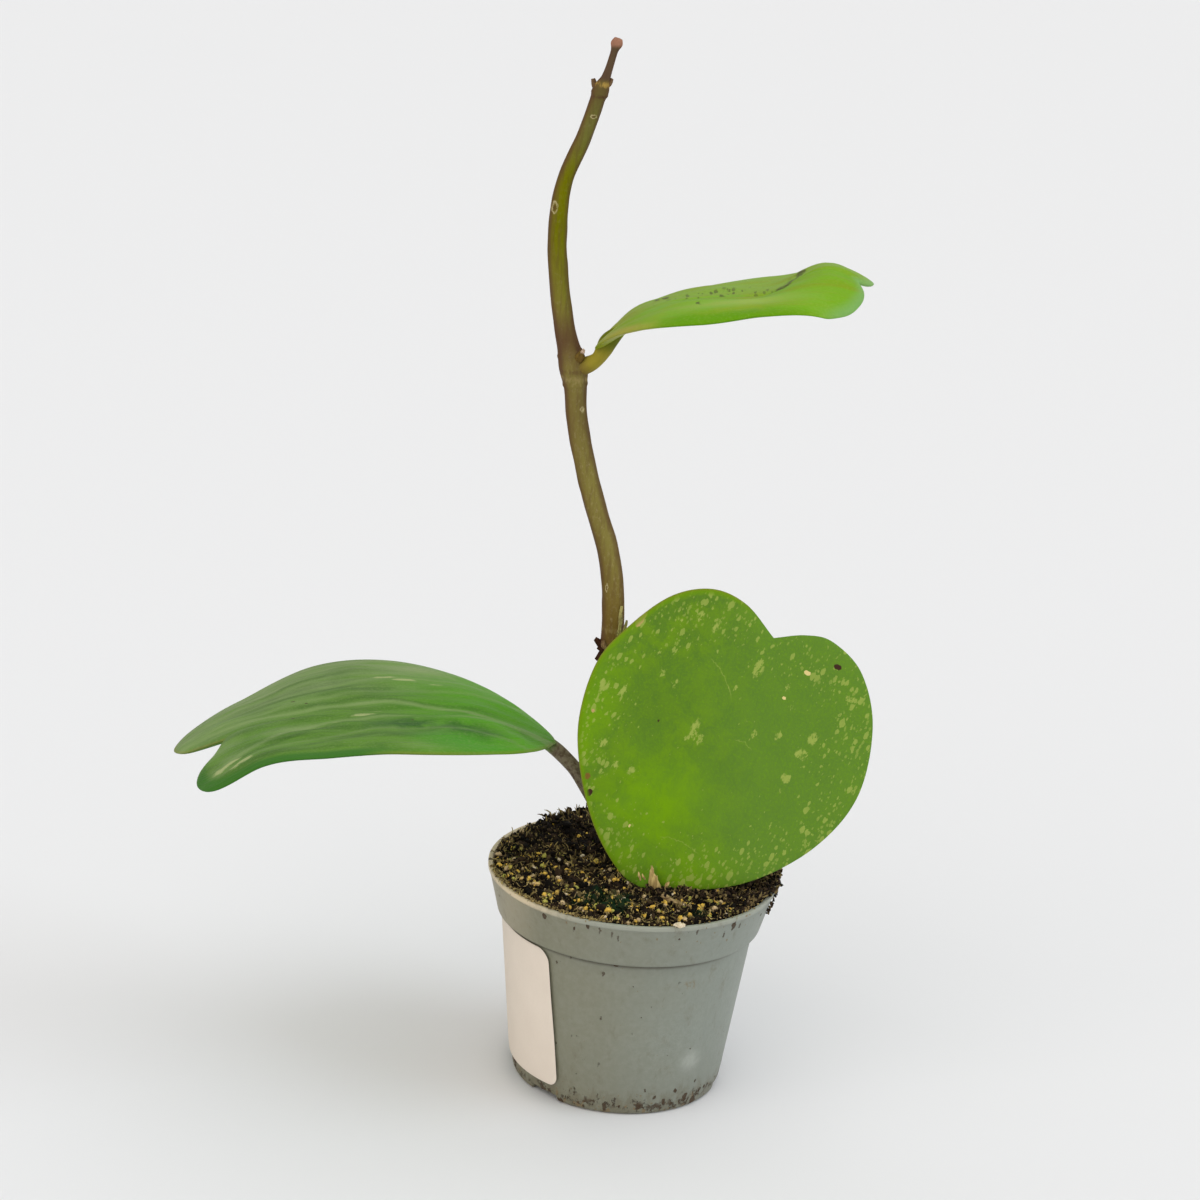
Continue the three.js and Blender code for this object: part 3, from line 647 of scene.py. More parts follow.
# crumbs, palest at the front and the left
x, y, radius = scattered(rng, CRUMBS, 28.7)
front = smoothstep(-y - 0.35 * x, -6, 14)
size = rng.uniform(0.14, 0.38, CRUMBS) + 0.7 * rng.random(CRUMBS) ** 9
size = np.minimum(size, 0.2 + (SOIL_REACH - radius) * 0.5)
places = on_soil(x, y, rng.uniform(0, 0.9, CRUMBS) * size + 0.1)
left = smoothstep(-x - 0.3 * y, -4, 16)
clump = clumped(x, y)
tone = rng.random(CRUMBS) ** 1.4
tone += (0.25 + 0.5 * front + 0.4 * left) * (rng.random(CRUMBS) > 0.9 - 0.5 * clump) * (size < 0.36)
tone += 0.2 * left * clump - 0.25 * smoothstep(y, -2, 12)
loose = [lumps(rng, places, size, tone=tone)]

# the bank of crumbs that leans over the lip at the right, and the two strings that hang off it
degrees = rng.uniform(-44, 16, BANK_CRUMBS)
over = smoothstep(-np.abs(degrees + 4), -22, -10)
radius = 24.5 + (4.4 + 1.9 * over) * np.sqrt(rng.random(BANK_CRUMBS))
pile = rng.random(BANK_CRUMBS) * smoothstep(-np.abs(degrees + 10), -30, -8)
size = rng.uniform(0.16, 0.45, BANK_CRUMBS) + 0.3 * rng.random(BANK_CRUMBS) ** 6
places = around_pot(degrees, radius, POT_HEIGHT + 0.3 + 2.3 * pile)
loose.append(lumps(rng, places, size, tone=rng.uniform(0, 1.3, BANK_CRUMBS)))
for degrees, low, count in HANGING_STRINGS:
    height = np.linspace(POT_HEIGHT + 0.8, low, count)
    turn = degrees + rng.normal(0, 0.6, count) + 1.5 * np.sin(height)
    radius = band_radius(height) + rng.uniform(0.1, 0.7, count)
    loose.append(lumps(rng, around_pot(turn, radius, height), rng.uniform(0.16, 0.42, count),
                       tone=rng.uniform(0, 1.2, count)))

# crumbs against the front leaf's foot, and debris lying on the lip
share = rng.random(FOOT_CRUMBS)
x = -1 + 22 * share + rng.normal(0, 0.6, FOOT_CRUMBS)
y = -14.2 + 1.5 * share + rng.normal(0, 1.0, FOOT_CRUMBS)
loose.append(lumps(rng, on_soil(x, y, rng.uniform(0.1, 1.1, FOOT_CRUMBS)),
                   rng.uniform(0.2, 0.55, FOOT_CRUMBS), tone=rng.uniform(0, 1.35, FOOT_CRUMBS)))
x, y = 2.6 + 6.5 * rng.random(HEEL_CRUMBS), -15.6 + rng.normal(0, 0.35, HEEL_CRUMBS)
height = POT_HEIGHT + 0.8 + rng.random(HEEL_CRUMBS) * (2.3 - 0.26 * (x - 2.6))
places = np.stack([x, y, height], -1)
loose.append(lumps(rng, places, rng.uniform(0.2, 0.5, HEEL_CRUMBS),
                   tone=rng.uniform(0, 1.2, HEEL_CRUMBS)))
degrees = np.concatenate([rng.uniform(*row) for row in LIP_CRUMBS])
radius = LIP_MIDDLE + rng.normal(0, 0.35, len(degrees))
places = around_pot(degrees, radius, POT_HEIGHT + 0.12 + 0.2 * rng.random(len(degrees)))
places[:, 2] -= 1.5 * np.maximum(radius - LIP_OUTSIDE, 0)
loose.append(lumps(rng, places, rng.uniform(0.1, 0.28, len(degrees)),
                   tone=rng.uniform(0.9, 2.3, len(degrees))))

# long bristles, steepest at the back
x, y, radius = scattered(rng, BRISTLES, 28.5)
rise = rng.uniform(0, 0.4, BRISTLES) + 0.7 * smoothstep(y, 12, 26) * rng.random(BRISTLES)
way = np.stack([rng.normal(size=BRISTLES), rng.normal(size=BRISTLES), rise + 0.1], -1)
tone = rng.uniform(0.3, 1.6, BRISTLES) - 0.3 * smoothstep(y, 0, 12)
lengths = rng.uniform(0.8, 2.4, BRISTLES) * (1 - 0.6 * smoothstep(radius, 25, 28))
threads = [fibres(rng, on_soil(x, y, 0.1), lengths, 0.11, way, tone=tone)]
# fibres that stand up along the back lip and hang out over it at the right
turn = np.radians(np.concatenate([rng.uniform(*row) for row in LIP_FRINGE]))
count = len(turn)
radius = rng.uniform(24.5, 29.2, count)
x, y = radius * np.cos(turn), radius * np.sin(turn)
lip_places = np.stack([x, y, np.maximum(soil_height(x, y), POT_HEIGHT + 0.3) + 0.1], -1)
tuft = smoothstep(waves(np.stack([x, y], -1), 2.2, 41), -0.6, 0.9)
way = np.stack([0.8 * rng.normal(size=count) + 0.3 * np.cos(turn),
                0.8 * rng.normal(size=count) + 0.3 * np.sin(turn), 0.1 + 1.7 * tuft], -1)
threads.append(fibres(rng, lip_places, rng.uniform(0.7, 2.1, count), 0.19, way,
                      tone=rng.uniform(0.7, 1.75, count)))
# short pale shreds, upright in clumps over the front and the left
x, y, radius = scattered(rng, SHREDS, SOIL_REACH)
cluster = np.maximum(0.1 + 0.9 * clumped(x, y), 0.6 * smoothstep(radius, 24, 28))
kept = rng.random(SHREDS) < 0.03 + 0.62 * smoothstep(-y - 0.7 * x, -6, 12) * cluster
x, y = x[kept], y[kept]
count = len(x)
places = on_soil(x, y, rng.uniform(0.2, 0.7, count))
way = np.stack([0.7 * rng.normal(size=count), 0.7 * rng.normal(size=count),
                0.15 + np.abs(rng.normal(size=count))], -1)
threads.append(fibres(rng, places, rng.uniform(0.4, 1.4, count), 0.14, way,
                      tone=rng.uniform(0.75, 2.3, count)))
places = lip_places[:CLODS] + rng.normal(0, 0.3, (CLODS, 3))
loose.append(lumps(rng, places, rng.uniform(0.3, 0.8, CLODS), tone=rng.uniform(0.2, 1.1, CLODS)))
# dust and fine litter over all of it, palest towards the left and the front
x, y, _ = scattered(rng, DUST, SOIL_REACH)
pale = np.maximum(smoothstep(-x - 0.3 * y, -6, 16), smoothstep(-y - 0.35 * x, -4, 14))
places = on_soil(x, y, rng.uniform(0.1, 0.6, DUST))
size = rng.uniform(0.07, 0.19, DUST)
tone = rng.random(DUST) + (0.5 + 1.2 * clumped(x, y)) * pale * rng.random(DUST)
dust = lumps(rng, places, size, tone=tone)
make_piece("potting_mix", [plug], earth, "potting_soil", ["soil"])
make_piece("soil_crumbs", loose, earth, "potting_soil", smooth=False)
make_piece("soil_dust", [dust], earth, "potting_soil", smooth=False)
make_piece("soil_fibres", threads, earth, "potting_soil", smooth=False)

# golden grains, thickest at the front
x, y, _ = scattered(rng, GRAINS, 28.6)
cluster = 0.05 + 0.95 * clumped(x, y) ** 1.5
kept = rng.random(GRAINS) < 0.01 + 0.75 * smoothstep(-y - 0.4 * x, -2, 16) * cluster
x, y = x[kept], y[kept]
size = rng.uniform(0.12, 0.32, len(x))
tone = rng.uniform(0.1, 1, len(x)) ** (1 + 0.4 * smoothstep(-x, 4, 18))
grains = [lumps(rng, on_soil(x, y, 0.5 * size + 0.3), size, flatness=0.6, longest=1.6, tone=tone)]
x, y, radius = scattered(rng, BIG_GRAINS, 28.2)
cluster = 0.1 + 0.9 * clumped(x, y) ** 1.7
kept = rng.random(BIG_GRAINS) < (0.10 + 0.90 * smoothstep(-y - 0.3 * x, -1, 15)) * cluster
x, y, radius = x[kept], y[kept], radius[kept]
size = rng.uniform(0.3, 0.58, len(x)) + 0.2 * rng.random(len(x)) ** 3
size = np.minimum(size, 0.25 + (28.8 - radius) * 0.5)
grains.append(lumps(rng, on_soil(x, y, 0.45 * size + 0.3), size, flatness=0.8,
                    raggedness=0.18, longest=1.35, tone=rng.uniform(0.16, 0.96, len(x))))
# the one white grain that lies at the front
x, y = 9.7 + rng.normal(0, 0.5, WHITE_BITS), -28.4 + rng.normal(0, 0.25, WHITE_BITS)
places = np.stack([x, y, np.full(WHITE_BITS, POT_HEIGHT + 0.5)], -1)
grains.append(lumps(rng, places, rng.uniform(0.35, 0.75, WHITE_BITS), tone=np.ones(WHITE_BITS)))
make_piece("mineral_grains", grains, mineral, "potting_soil", smooth=False)


# The stem
# One half-woody vine stem, olive and brown, with swollen nodes, a ragged dry stub, a bud in the
# upper leaf's axil, and a cut collar below the thin dry tip with its knob.
STEM = [
    (-1.4, 2.0, 16, 1.9), (-2.0, 2.0, 32, 2.2), (-2.8, 2.0, 47.3, 2.4), (-4.1, 2.0, 59, 2.3),
    (-5.5, 2.0, 70.5, 2.3), (-6.8, 2.0, 82, 2.3), (-8.0, 2.2, 93, 2.3), (-8.8, 2.5, 104, 2.25),
    (-10.6, 2.8, 113, 2.2), (-13.8, 3.1, 121.5, 2.15), (-16.6, 3.4, 130, 2.1),
    (-18.9, 3.6, 139, 2.15), (-20.1, 3.5, 148, 2.2), (-22.6, 3.2, 157, 2.05),
    (-24.3, 2.8, 166, 1.95), (-25.4, 2.4, 176, 1.85), (-24.8, 1.6, 186, 1.6),
    (-21.7, 0.8, 195, 1.5), (-19.3, 0.1, 204, 1.35), (-18.3, -0.2, 207, 0.85),
    (-17.5, -0.4, 210.5, 0.62), (-16.6, -0.7, 214.2, 0.6),
]
STEM_SIDES = 40
STEM_STEPS = 620
# height, rise and reach of a swelling; heights of the small ridges round the stem
STEM_SWELLINGS = [
    (50, 0.5, 4), (92, 0.35, 2.2), (149.5, 0.65, 3), (204.4, 0.25, 1.2), (213.3, 0.5, 0.9),
]
STEM_RIDGES = (90.2, 93.6, 146.1, 152.2, 203.6)
BARK_LOW = (0.176, 0.112, 0.024, 1)
BARK_OLIVE = (0.235, 0.198, 0.050, 1)
BARK_GREEN = (0.166, 0.166, 0.0, 1)
BARK_SIDE_SHADE = (0.150, 0.090, 0.022, 1)
BARK_TOP = (0.158, 0.152, 0.034, 1)
BARK_PURPLE = (0.104, 0.047, 0.028, 1)
BARK_DARK = (0.040, 0.020, 0.013, 1)
BARK_PALE = (0.50, 0.42, 0.22, 1)
BARK_SCAR = (0.38, 0.30, 0.12, 1)
BARK_GOLD = (0.46, 0.30, 0.07, 1)
TIP_BROWN = (0.105, 0.060, 0.040, 1)
TIP_PINK_HIGHLIGHT = (0.42, 0.20, 0.13, 1)
HUSK_DARK = (0.062, 0.026, 0.014)
HUSK_TAN = (0.33, 0.21, 0.10)
BUD_PALE = (0.62, 0.46, 0.34)
SLIVER_PALE = (0.46, 0.41, 0.15)
COLLAR_BROWN = (0.21, 0.125, 0.062)
STEM_SPURS = [
    (HUSK_DARK, [(-8.0, 2.1, 92.2, 1.2), (-9.9, 1.6, 92.9, 0.9), (-11.6, 1.2, 94.4, 0.3)]),
    (HUSK_DARK, [(-8.6, 1.6, 92.8, 1.0), (-10.2, 0.6, 91.2, 0.7), (-11.2, 0.2, 90.2, 0.3)]),
    (HUSK_DARK, [(-8.4, 1.0, 91.4, 0.9), (-9.9, 0.2, 92.4, 0.6), (-11.0, -0.1, 93.0, 0.25)]),
    (HUSK_TAN, [(-8.6, 0.6, 91.6, 0.7), (-9.7, -0.3, 93.4, 0.45), (-10.0, -0.4, 94.6, 0.2)]),
    (SLIVER_PALE, [(-7.1, 0.6, 94.2, 0.4), (-6.9, 0.25, 98.0, 0.38), (-6.9, 0.4, 102.0, 0.12)]),
    (SLIVER_PALE, [(-6.5, 0.6, 94.6, 0.4), (-5.9, 0.5, 97.2, 0.34), (-5.6, 0.6, 99.0, 0.10)]),
    (BARK_LOW[:3], [(-20.2, 3.0, 150.6, 1.1), (-19.3, 1.4, 152.0, 0.9), (-18.9, 0.9, 153.4, 0.4)]),
    (BUD_PALE, [(-18.9, 0.9, 153.0, 0.35), (-18.7, 0.7, 153.4, 0.38), (-18.5, 0.6, 153.8, 0.2)]),
    (COLLAR_BROWN, [(-19.6, 0.1, 204.4, 0.9), (-20.4, 0.0, 205.0, 0.6), (-20.8, 0.0, 206.3, 0.25)]),
    (COLLAR_BROWN, [(-18.8, 0.0, 204.8, 0.7), (-17.7, 0.0, 205.6, 0.45), (-17.2, 0.0, 206.6, 0.2)]),
]
# height, reach, strength and colour of a scar ring; place and reach of a scar
STEM_RINGS = [
    (147.3, 1.0, 0.55, BARK_SCAR), (148.9, 0.6, 0.5, BARK_PURPLE), (89.4, 1.2, 0.6, BARK_DARK),
    (96.6, 0.8, 0.35, BARK_SCAR), (205.4, 0.8, 0.8, BARK_GOLD), (203.0, 0.6, 0.7, BARK_PURPLE),
]
STEM_SCARS = [
    ((-26.3, 0.7, 181.1), (0.85, 1.6, 1.6)), ((-20.1, -0.9, 199.2), (0.8, 1.2, 0.55)),
    ((-17.8, 1.2, 141.4), (0.8, 1.6, 1.1)), ((-10.2, 0.2, 105.5), (0.4, 1.4, 1.3)),
]


def tube(stations, sides, steps, shape=None, level=(0, 1, 0), **values):
    """Round bar along the spline of its stations (x, y, z, radius). A ring's plane is square to the
    line, its first direction is tangent x level, and shape(centre, angle) adds to the radius."""
    line = even_line(stations, steps)
    centre, radius = line[:, None, :3], line[:, None, 3]
    tangent = np.gradient(line[:, :3], axis=0)
    tangent /= np.linalg.norm(tangent, axis=1, keepdims=True)
    side = np.cross(tangent, level)
    side = (side / np.linalg.norm(side, axis=1, keepdims=True))[:, None]
    front = np.cross(side, tangent[:, None])
    angle = np.linspace(0, 2 * np.pi, sides, endpoint=False)[None, :]
    radius = np.broadcast_to(radius, (steps, sides))
    if shape:
        radius = radius + shape(centre, angle)
    out = np.cos(angle)[..., None] * side + np.sin(angle)[..., None] * front
    return skin(centre + radius[..., None] * out, line[0, :3], line[-1, :3], **values)


def stem_shape(centre, angle):
    """A bell curve at each swelling and ridge, soft ribs, and fine unevenness."""
    height = centre[..., 2]
    extra = sum(rise * np.exp(-(((height - middle) / reach) ** 2))
                for middle, rise, reach in STEM_SWELLINGS)
    ridges = sum(0.16 * np.exp(-(((height - at) / 0.35) ** 2)) for at in STEM_RIDGES)
    ribs = 0.05 * np.cos(3 * angle + height / 14) + 0.03 * np.cos(7 * angle - height / 9)
    rough = np.stack(np.broadcast_arrays(height / 3, 2.3 * np.cos(angle), 2.3 * np.sin(angle)), -1)
    return extra + ridges + ribs + 0.05 * waves(rough, 1.6, 5)


def spur_shape(centre, angle):
    """Three blunt corners that wind with height, and five shallow ones."""
    return 0.14 * np.cos(3 * angle + centre[..., 2]) + 0.08 * np.cos(5 * angle)


bark = Finish("half_woody_stem_skin", BARK_LOW, IOR=1.45, Specular_IOR_Level=0.05)
spot = bark.place()
z = spot.parts()[2]
across = bark.attribute("across")
long_grain = spot.stretched((1, 1, 0.10)).noise(0.7, 4, 0.6)
blotch = spot.stretched((1, 1, 0.3)).noise(4, 4, 0.6)
pores = spot.stretched((1, 1, 0.6)).noise(0.6, 4, 0.7)
rough_z = z + blotch * 5 - 2.5
bark.coat(rough_z.band(92, 118), BARK_OLIVE)
bark.coat(rough_z.band(150, 178), BARK_GREEN)
bark.coat(rough_z.band(186, 198), BARK_TOP)
bark.coat(long_grain.band(0.42, 0.72) * 0.35, BARK_PURPLE)
upper = z.band(150, 172)
bark.coat(pores.band(0.50, 0.75) * (0.28 - 0.18 * upper), BARK_PALE)
# painted shade: the stem's left side browner and both side edges, as seen from the front, darker
# purple-brown
bark.coat((across + (blotch - 0.5) * 0.9).band(0.0, 0.9) * 0.55, BARK_SIDE_SHADE)
edge = (across.size() + (blotch - 0.5) * 0.5).band(0.45, 1.0)
bark.coat(edge * 0.7, BARK_PURPLE)
above_node = rough_z.near(155, 8).larger(rough_z.near(205, 6) * 0.7)
bark.coat(above_node * 0.75, BARK_PURPLE)
browned = rough_z.near(86, 12).larger(rough_z.near(140, 14) * 0.8)
bark.coat(browned * 0.3, BARK_PURPLE)
for scar_height, reach, share, scar_colour in STEM_RINGS:
    ring = (z + (pores - 0.5) * 2.2).near(scar_height, reach)
    bark.coat(ring * long_grain.band(0.32, 0.56) * share, scar_colour)
ragged_place = spot.bent(0.5, 0.45)
for place, reach in STEM_SCARS:
    scar = ragged_place.patch(place, reach)
    bark.coat(scar.band(0.45, 0.85) * 0.6, BARK_PURPLE)
    bark.coat(scar.near(0.3, 0.3) * (pores * 2.4 - 0.45), BARK_PALE)
bark.coat(z.band(205.8, 206.8) * 0.85, TIP_BROWN)
# painted highlight: pink over the top of the knob
bark.coat(z.band(212.2, 213.2) * (0.4 + pores * 0.7), TIP_PINK_HIGHLIGHT)
dry = bark.attribute("dry")
tint = bark.mix(pores.band(0.35, 0.7) * 0.6, bark.attribute("tint", "Vector"), BARK_DARK)
bark.coat(dry, tint)
bark.dress(0.45 + long_grain * 0.2 + dry * 0.2, long_grain * 0.7 + pores * 0.4 + blotch * 0.5, 0.20)

across = np.cos(np.linspace(0, 2 * np.pi, STEM_SIDES, endpoint=False))[None]
stems = [tube(STEM, STEM_SIDES, STEM_STEPS, stem_shape, across=across, dry=0,
              tint=np.zeros((1, 1, 3)))]
for tint, line in STEM_SPURS:
    stems.append(tube(line, sides=14, steps=24, shape=spur_shape, across=0, dry=1,
                      tint=np.reshape(tint, (1, 1, 3))))
make_piece("vine_stem", stems, bark, "stem_skin", ["stem"])


# The front leaf
# A thick heart-shaped blade that stands in the soil on a short stalk, waxy and stiff, with cream
# splashes that run along its veins.
# A station is x, y, z of the midrib, then roll, fold and curl. The outline is in u along the blade
# and v across it, a stalk's rows are x, y, z and radius, a splash's u, v, their reach and strength.
FRONT_LEAF = {
    "length": 62,
    "thickness": 2.2,
    "stations": [
        (2.7, -12.1, 47.3, 67, 0, 0), (8.6, -9.9, 61.5, 67, 1, 1), (14.4, -7.6, 75.7, 67, 1, 1),
        (20.2, -5.3, 89.9, 67, 1, 0), (26.0, -3.1, 104.1, 67, 0, -1),
    ],
    "outline": [
        (56.7, 0), (60.3, 8), (60, 15.4), (55.1, 22.1), (46, 27), (36.7, 29.6), (25.1, 27.8),
        (15.5, 22.9), (6.4, 15.4), (0.5, 7.3), (-1, 1), (2.3, -7.4), (9.8, -18), (21.9, -26.6),
        (35.4, -29.8), (49.2, -26.2), (58.2, -19.1), (61.3, -11), (60.1, -5.5), (56.7, 0),
    ],
    "stalk": [
        (4.6, -11.4, 51.5, 1.0), (2.4, -11.8, 47.2, 1.7), (1.0, -9.6, 43.4, 1.6),
        (-0.6, -4.6, 41.2, 1.6), (-2.4, 1.0, 41.6, 1.6),
    ],
    "splashes": [
        (32.8, 6.2, 3.4, 1.2, 1), (31.6, 4.0, 2.0, 1.0, 0.9), (50.2, 0.0, 2.8, 1.3, 1),
        (42.0, -16.2, 2.0, 1.5, 1), (38.2, -15.6, 1.7, 1.7, 1), (32.5, -15.2, 1.4, 1.4, 1),
        (19.8, 13.5, 1.5, 1.1, 0.9), (22.6, 21.2, 1.7, 1.4, 0.9), (33.0, 26.3, 2.0, 1.3, 1),
        (33.9, 22.4, 2.1, 1.1, 0.9), (43.5, 19.0, 1.5, 1.1, 0.8), (40.8, 17.0, 1.8, 0.9, 0.8),
        (54.0, 15.2, 2.3, 1.0, 0.9), (53.5, 11.2, 2.3, 1.0, 0.9), (51.5, 18.6, 1.5, 1.2, 0.8),
        (42.5, 0.5, 1.2, 1.1, 0.7), (51.2, -5.2, 1.3, 0.9, 0.7), (39.0, -2.5, 0.9, 0.9, 0.8),
        (39.5, -9.7, 1.4, 1.0, 1.0), (52.5, -19.2, 1.2, 2.4, 0.8), (49.0, -18.8, 1.4, 1.4, 0.7),
        (29.8, -15.0, 1.2, 0.9, 0.7), (49.2, -7.0, 1.5, 0.7, 0.9), (8.8, -7.8, 1.1, 1.0, 0.6),
        (39.8, 13.6, 1.4, 1.0, 0.9), (44.4, 2.4, 1.0, 0.9, 0.9), (19.7, 17.0, 1.2, 1.1, 0.9),
        (29.0, -21.8, 1.1, 1.0, 0.8), (45.8, -9.5, 1.1, 1.0, 0.9), (37.9, -5.4, 1.2, 0.9, 1.0),
    ],
    "waves": 0.10,
    "groove": 0.0,
    "ridges": 0.0,
    "level": (1, 0, 0),
}


def make_leaf(leaf, around=300, rings=52):
    """Skins of a leaf: its blade and its stalk. With M the midrib, side and face the blade's own
    directions, a point is M + side*v + face*rise. The rise adds up the fold and the curl,
    tan(fold)*(sqrt(v^2 + 9) - 3) + curl*v^2/1000, soft waves, a groove, ridges that run along the
    blade as waves of v over its width there, and half the thickness times sqrt(1 - reach^8)."""
    edge = even_line(leaf["outline"], around + 1)[:-1]
    length = leaf["length"]
    u, v, reach, side_sign = pressed(edge, length / 2, rings)
    share = np.clip(u / length, 0, 1)
    values = spline(leaf["stations"], share)
    ahead = spline(leaf["stations"], share + 1e-4)[..., :3]
    behind = spline(leaf["stations"], share - 1e-4)[..., :3]
    tangent = ahead - behind
    tangent /= np.linalg.norm(tangent, axis=-1, keepdims=True)
    level = np.cross((0, 0, 1), tangent)
    level /= np.linalg.norm(level, axis=-1, keepdims=True)
    above = np.cross(tangent, level)
    roll = np.radians(values[..., 3:4])
    side = level * np.cos(roll) + above * np.sin(roll)
    face = above * np.cos(roll) - level * np.sin(roll)
    half = leaf["thickness"] / 2 * np.sqrt(1 - reach ** 8)
    crease = np.sqrt(v * v + 9) - 3
    rise = np.tan(np.radians(values[..., 4])) * crease + values[..., 5] / 1000 * v * v
    flat = np.stack([u, v], -1)
    inside = 1 - reach ** 6
    rise = rise + leaf["waves"] * waves(flat * (0.5, 1), 7, 8) * inside
    rise = rise - leaf["groove"] * np.exp(-((v / 1.1) ** 2)) * inside
    count = 50
    slices = np.linspace(edge[:, 0].min(), edge[:, 0].max(), count + 1)
    inside_slice = np.clip(np.digitize(edge[:, 0], slices) - 1, 0, count - 1)
    width = np.zeros((2, count))
    np.maximum.at(width[0], inside_slice, edge[:, 1])
    np.maximum.at(width[1], inside_slice, -edge[:, 1])
    middles = (slices[:-1] + slices[1:]) / 2
    left, right = np.interp(u, middles, width[0]), np.interp(u, middles, width[1])
    vein = v / np.maximum(np.where(v > 0, left, right), 2)
    ridge = np.cos(2 * np.pi * (2.6 * vein + 0.22 * np.sin(u / 13)))
    ridge = ridge + 0.5 * np.cos(17 * vein + u / 9)
    rise = rise + leaf["ridges"] * ridge * inside * smoothstep(u, 2, 16)
    rise = rise + side_sign * half
    past = (u - share * length)[..., None]
    points = values[..., :3] + tangent * past + side * v[..., None] + face * rise[..., None]
    splash = np.zeros(u.shape)
    for at_u, at_v, long_u, long_v, strength in leaf["splashes"]:
        far = np.hypot((u - at_u) / long_u, (v - at_v) / long_v)
        splash = np.maximum(splash, strength * np.clip(1.5 - far, 0, 1))
    flat = np.stack([u, v, side_sign * 5], -1)
    blade = skin(points, points[0].mean(0), points[-1].mean(0), flat=flat,
                 vein=np.clip(vein, -1.5, 1.5), reach=reach, splash=splash, stalk=0)
    steps = 70
    bar = tube(leaf["stalk"], sides=26, steps=steps, shape=lambda c, a: 0.06 * np.cos(4 * a),
               level=leaf["level"], flat=np.zeros((1, 1, 3)), vein=0, reach=0, splash=0,
               stalk=np.linspace(0, 1, steps)[:, None])
    return [blade, bar]


class LeafSkin(Finish):
    """A leaf's finish. It knows where it is on the flat blade: u along it and v across it, how far
    out towards the edge, and whether on the front, from 0 to 1."""

    def __init__(self, name, ground, shine):
        super().__init__(name, ground, IOR=1.45, Specular_IOR_Level=shine)
        self.flat = self.attribute("flat", "Vector")
        self.u, self.v, self.face_side = self.flat.parts()
        self.reach = self.attribute("reach")
        self.front = self.face_side.band(-1, 1)
        self.fine = self.flat.noise(0.55, 5, 0.75)

    def veins(self, along, across):
        """A place for patterns that follow the veins from the base to the tip."""
        inputs = {0: self.u * along, 1: self.attribute("vein") * across, 2: self.face_side}
        return self.node("ShaderNodeCombineXYZ", {}, inputs)

    def grained(self, light, light_share, dark, dark_share):
        """Lay on the fine grain, light and dark."""
        self.coat(self.fine.band(0.45, 0.75) * light_share, light)
        self.coat((self.fine * -1).band(-0.45, -0.2) * dark_share, dark)


LEAF_DEEP = (0.100, 0.208, 0.020, 1)
LEAF_MID = (0.142, 0.275, 0.012, 1)
LEAF_LIGHT = (0.178, 0.375, 0.001, 1)
LEAF_EDGE = (0.150, 0.300, 0.002, 1)
# painted cool light for the front leaf's right side
LEAF_RIGHT_COOL_LIGHT = (0.118, 0.240, 0.030, 1)
LEAF_CREAM = (0.34, 0.43, 0.085, 1)
LEAF_MARGIN = (0.26, 0.20, 0.035, 1)
LEAF_DRY = (0.52, 0.36, 0.14, 1)
LEAF_CRUMB = (0.76, 0.62, 0.26, 1)
LEAF_DIRT = (0.055, 0.026, 0.016, 1)
LEAF_RUST = (0.21, 0.125, 0.025, 1)
# middle, reach and colour of a bit of dirt or dry skin
LEAF_BITS = [
    ((53.5, -9.2), (0.75, 1.25), LEAF_CRUMB), ((57.3, -14.0), (0.9, 1.5), LEAF_DIRT),
    ((14.8, 20.8), (1.3, 1.0), LEAF_RUST), ((11.9, 18.9), (1.4, 0.9), LEAF_DIRT),
    ((48.8, 25.7), (4.0, 1.4), LEAF_DRY), ((27.5, 25.9), (0.6, 0.5), LEAF_DRY),
    ((46.9, -7.3), (0.5, 0.7), LEAF_CRUMB), ((9.5, 8.6), (0.6, 0.35), LEAF_CRUMB),
    ((31.5, 13.2), (0.4, 0.4), LEAF_DIRT),
]
# centre and radius of a scratch's arc, middle and reach of the part of it that shows
LEAF_SCRATCHES = [
    ((33.04, 14.65), 15.41, (45.2, 5.2), (5.2, 6.4)),
    ((31.16, -3.86), 4.08, (35.2, -4.4), (2.0, 2.6)),
    ((-0.58, -2.73), 11.81, (11.2, -2.0), (2.5, 5.6)),
]

heart = LeafSkin("heart_leaf_skin", LEAF_DEEP, 0.07)
flat, u, v, reach, fine = heart.flat, heart.u, heart.v, heart.reach, heart.fine
cloud = flat.noise(13, 3)
patchy = flat.bent(6, 3).noise(5, 5, 0.65)
vein_line = flat.stretched((0.12, 1, 1)).noise(1.3, 3)
heart.coat(patchy.band(0.38, 0.64), LEAF_MID)
# painted light and shade: cooler towards the right and the tip, a pool of painted light over the
# base and the lower left, and a patch of painted shade on the left above the middle
heart.coat((v * -1 + u * 0.45 + cloud * 16).band(8, 36) * 0.8, LEAF_RIGHT_COOL_LIGHT)
painted_light = flat.patch((14, 6, 0), (21, 18, 40))
painted_light = painted_light.larger(flat.patch((5, -7, 0), (15, 17, 40)) * 0.8)
painted_light = painted_light.larger(v.band(17, 28) * (1 - u.band(26, 46)))
heart.coat(painted_light * (0.25 + patchy * 0.9), LEAF_LIGHT)
shade = flat.bent(7, 4).patch((34, 16, 0), (15, 12, 40)) * (0.2 + patchy)
heart.coat(shade * 0.8, LEAF_DEEP)
heart.grained(LEAF_LIGHT, 0.45, LEAF_DEEP, 0.5)
ragged_place = flat.stretched((0.55, 1, 1)).bent(0.7, 0.35)
ragged = ragged_place.noise(0.8, 5, 0.75)
splash = heart.attribute("splash")
big = (splash + (ragged - 0.5) * 2.2).band(0.76, 0.96)
margins = reach.band(0.45, 0.95)
crowd = flat.noise(8, 3).band(0.35, 0.65)
flecks = ragged_place.flecks(1.05, 0.14 + (0.30 + 0.3 * crowd) * margins)
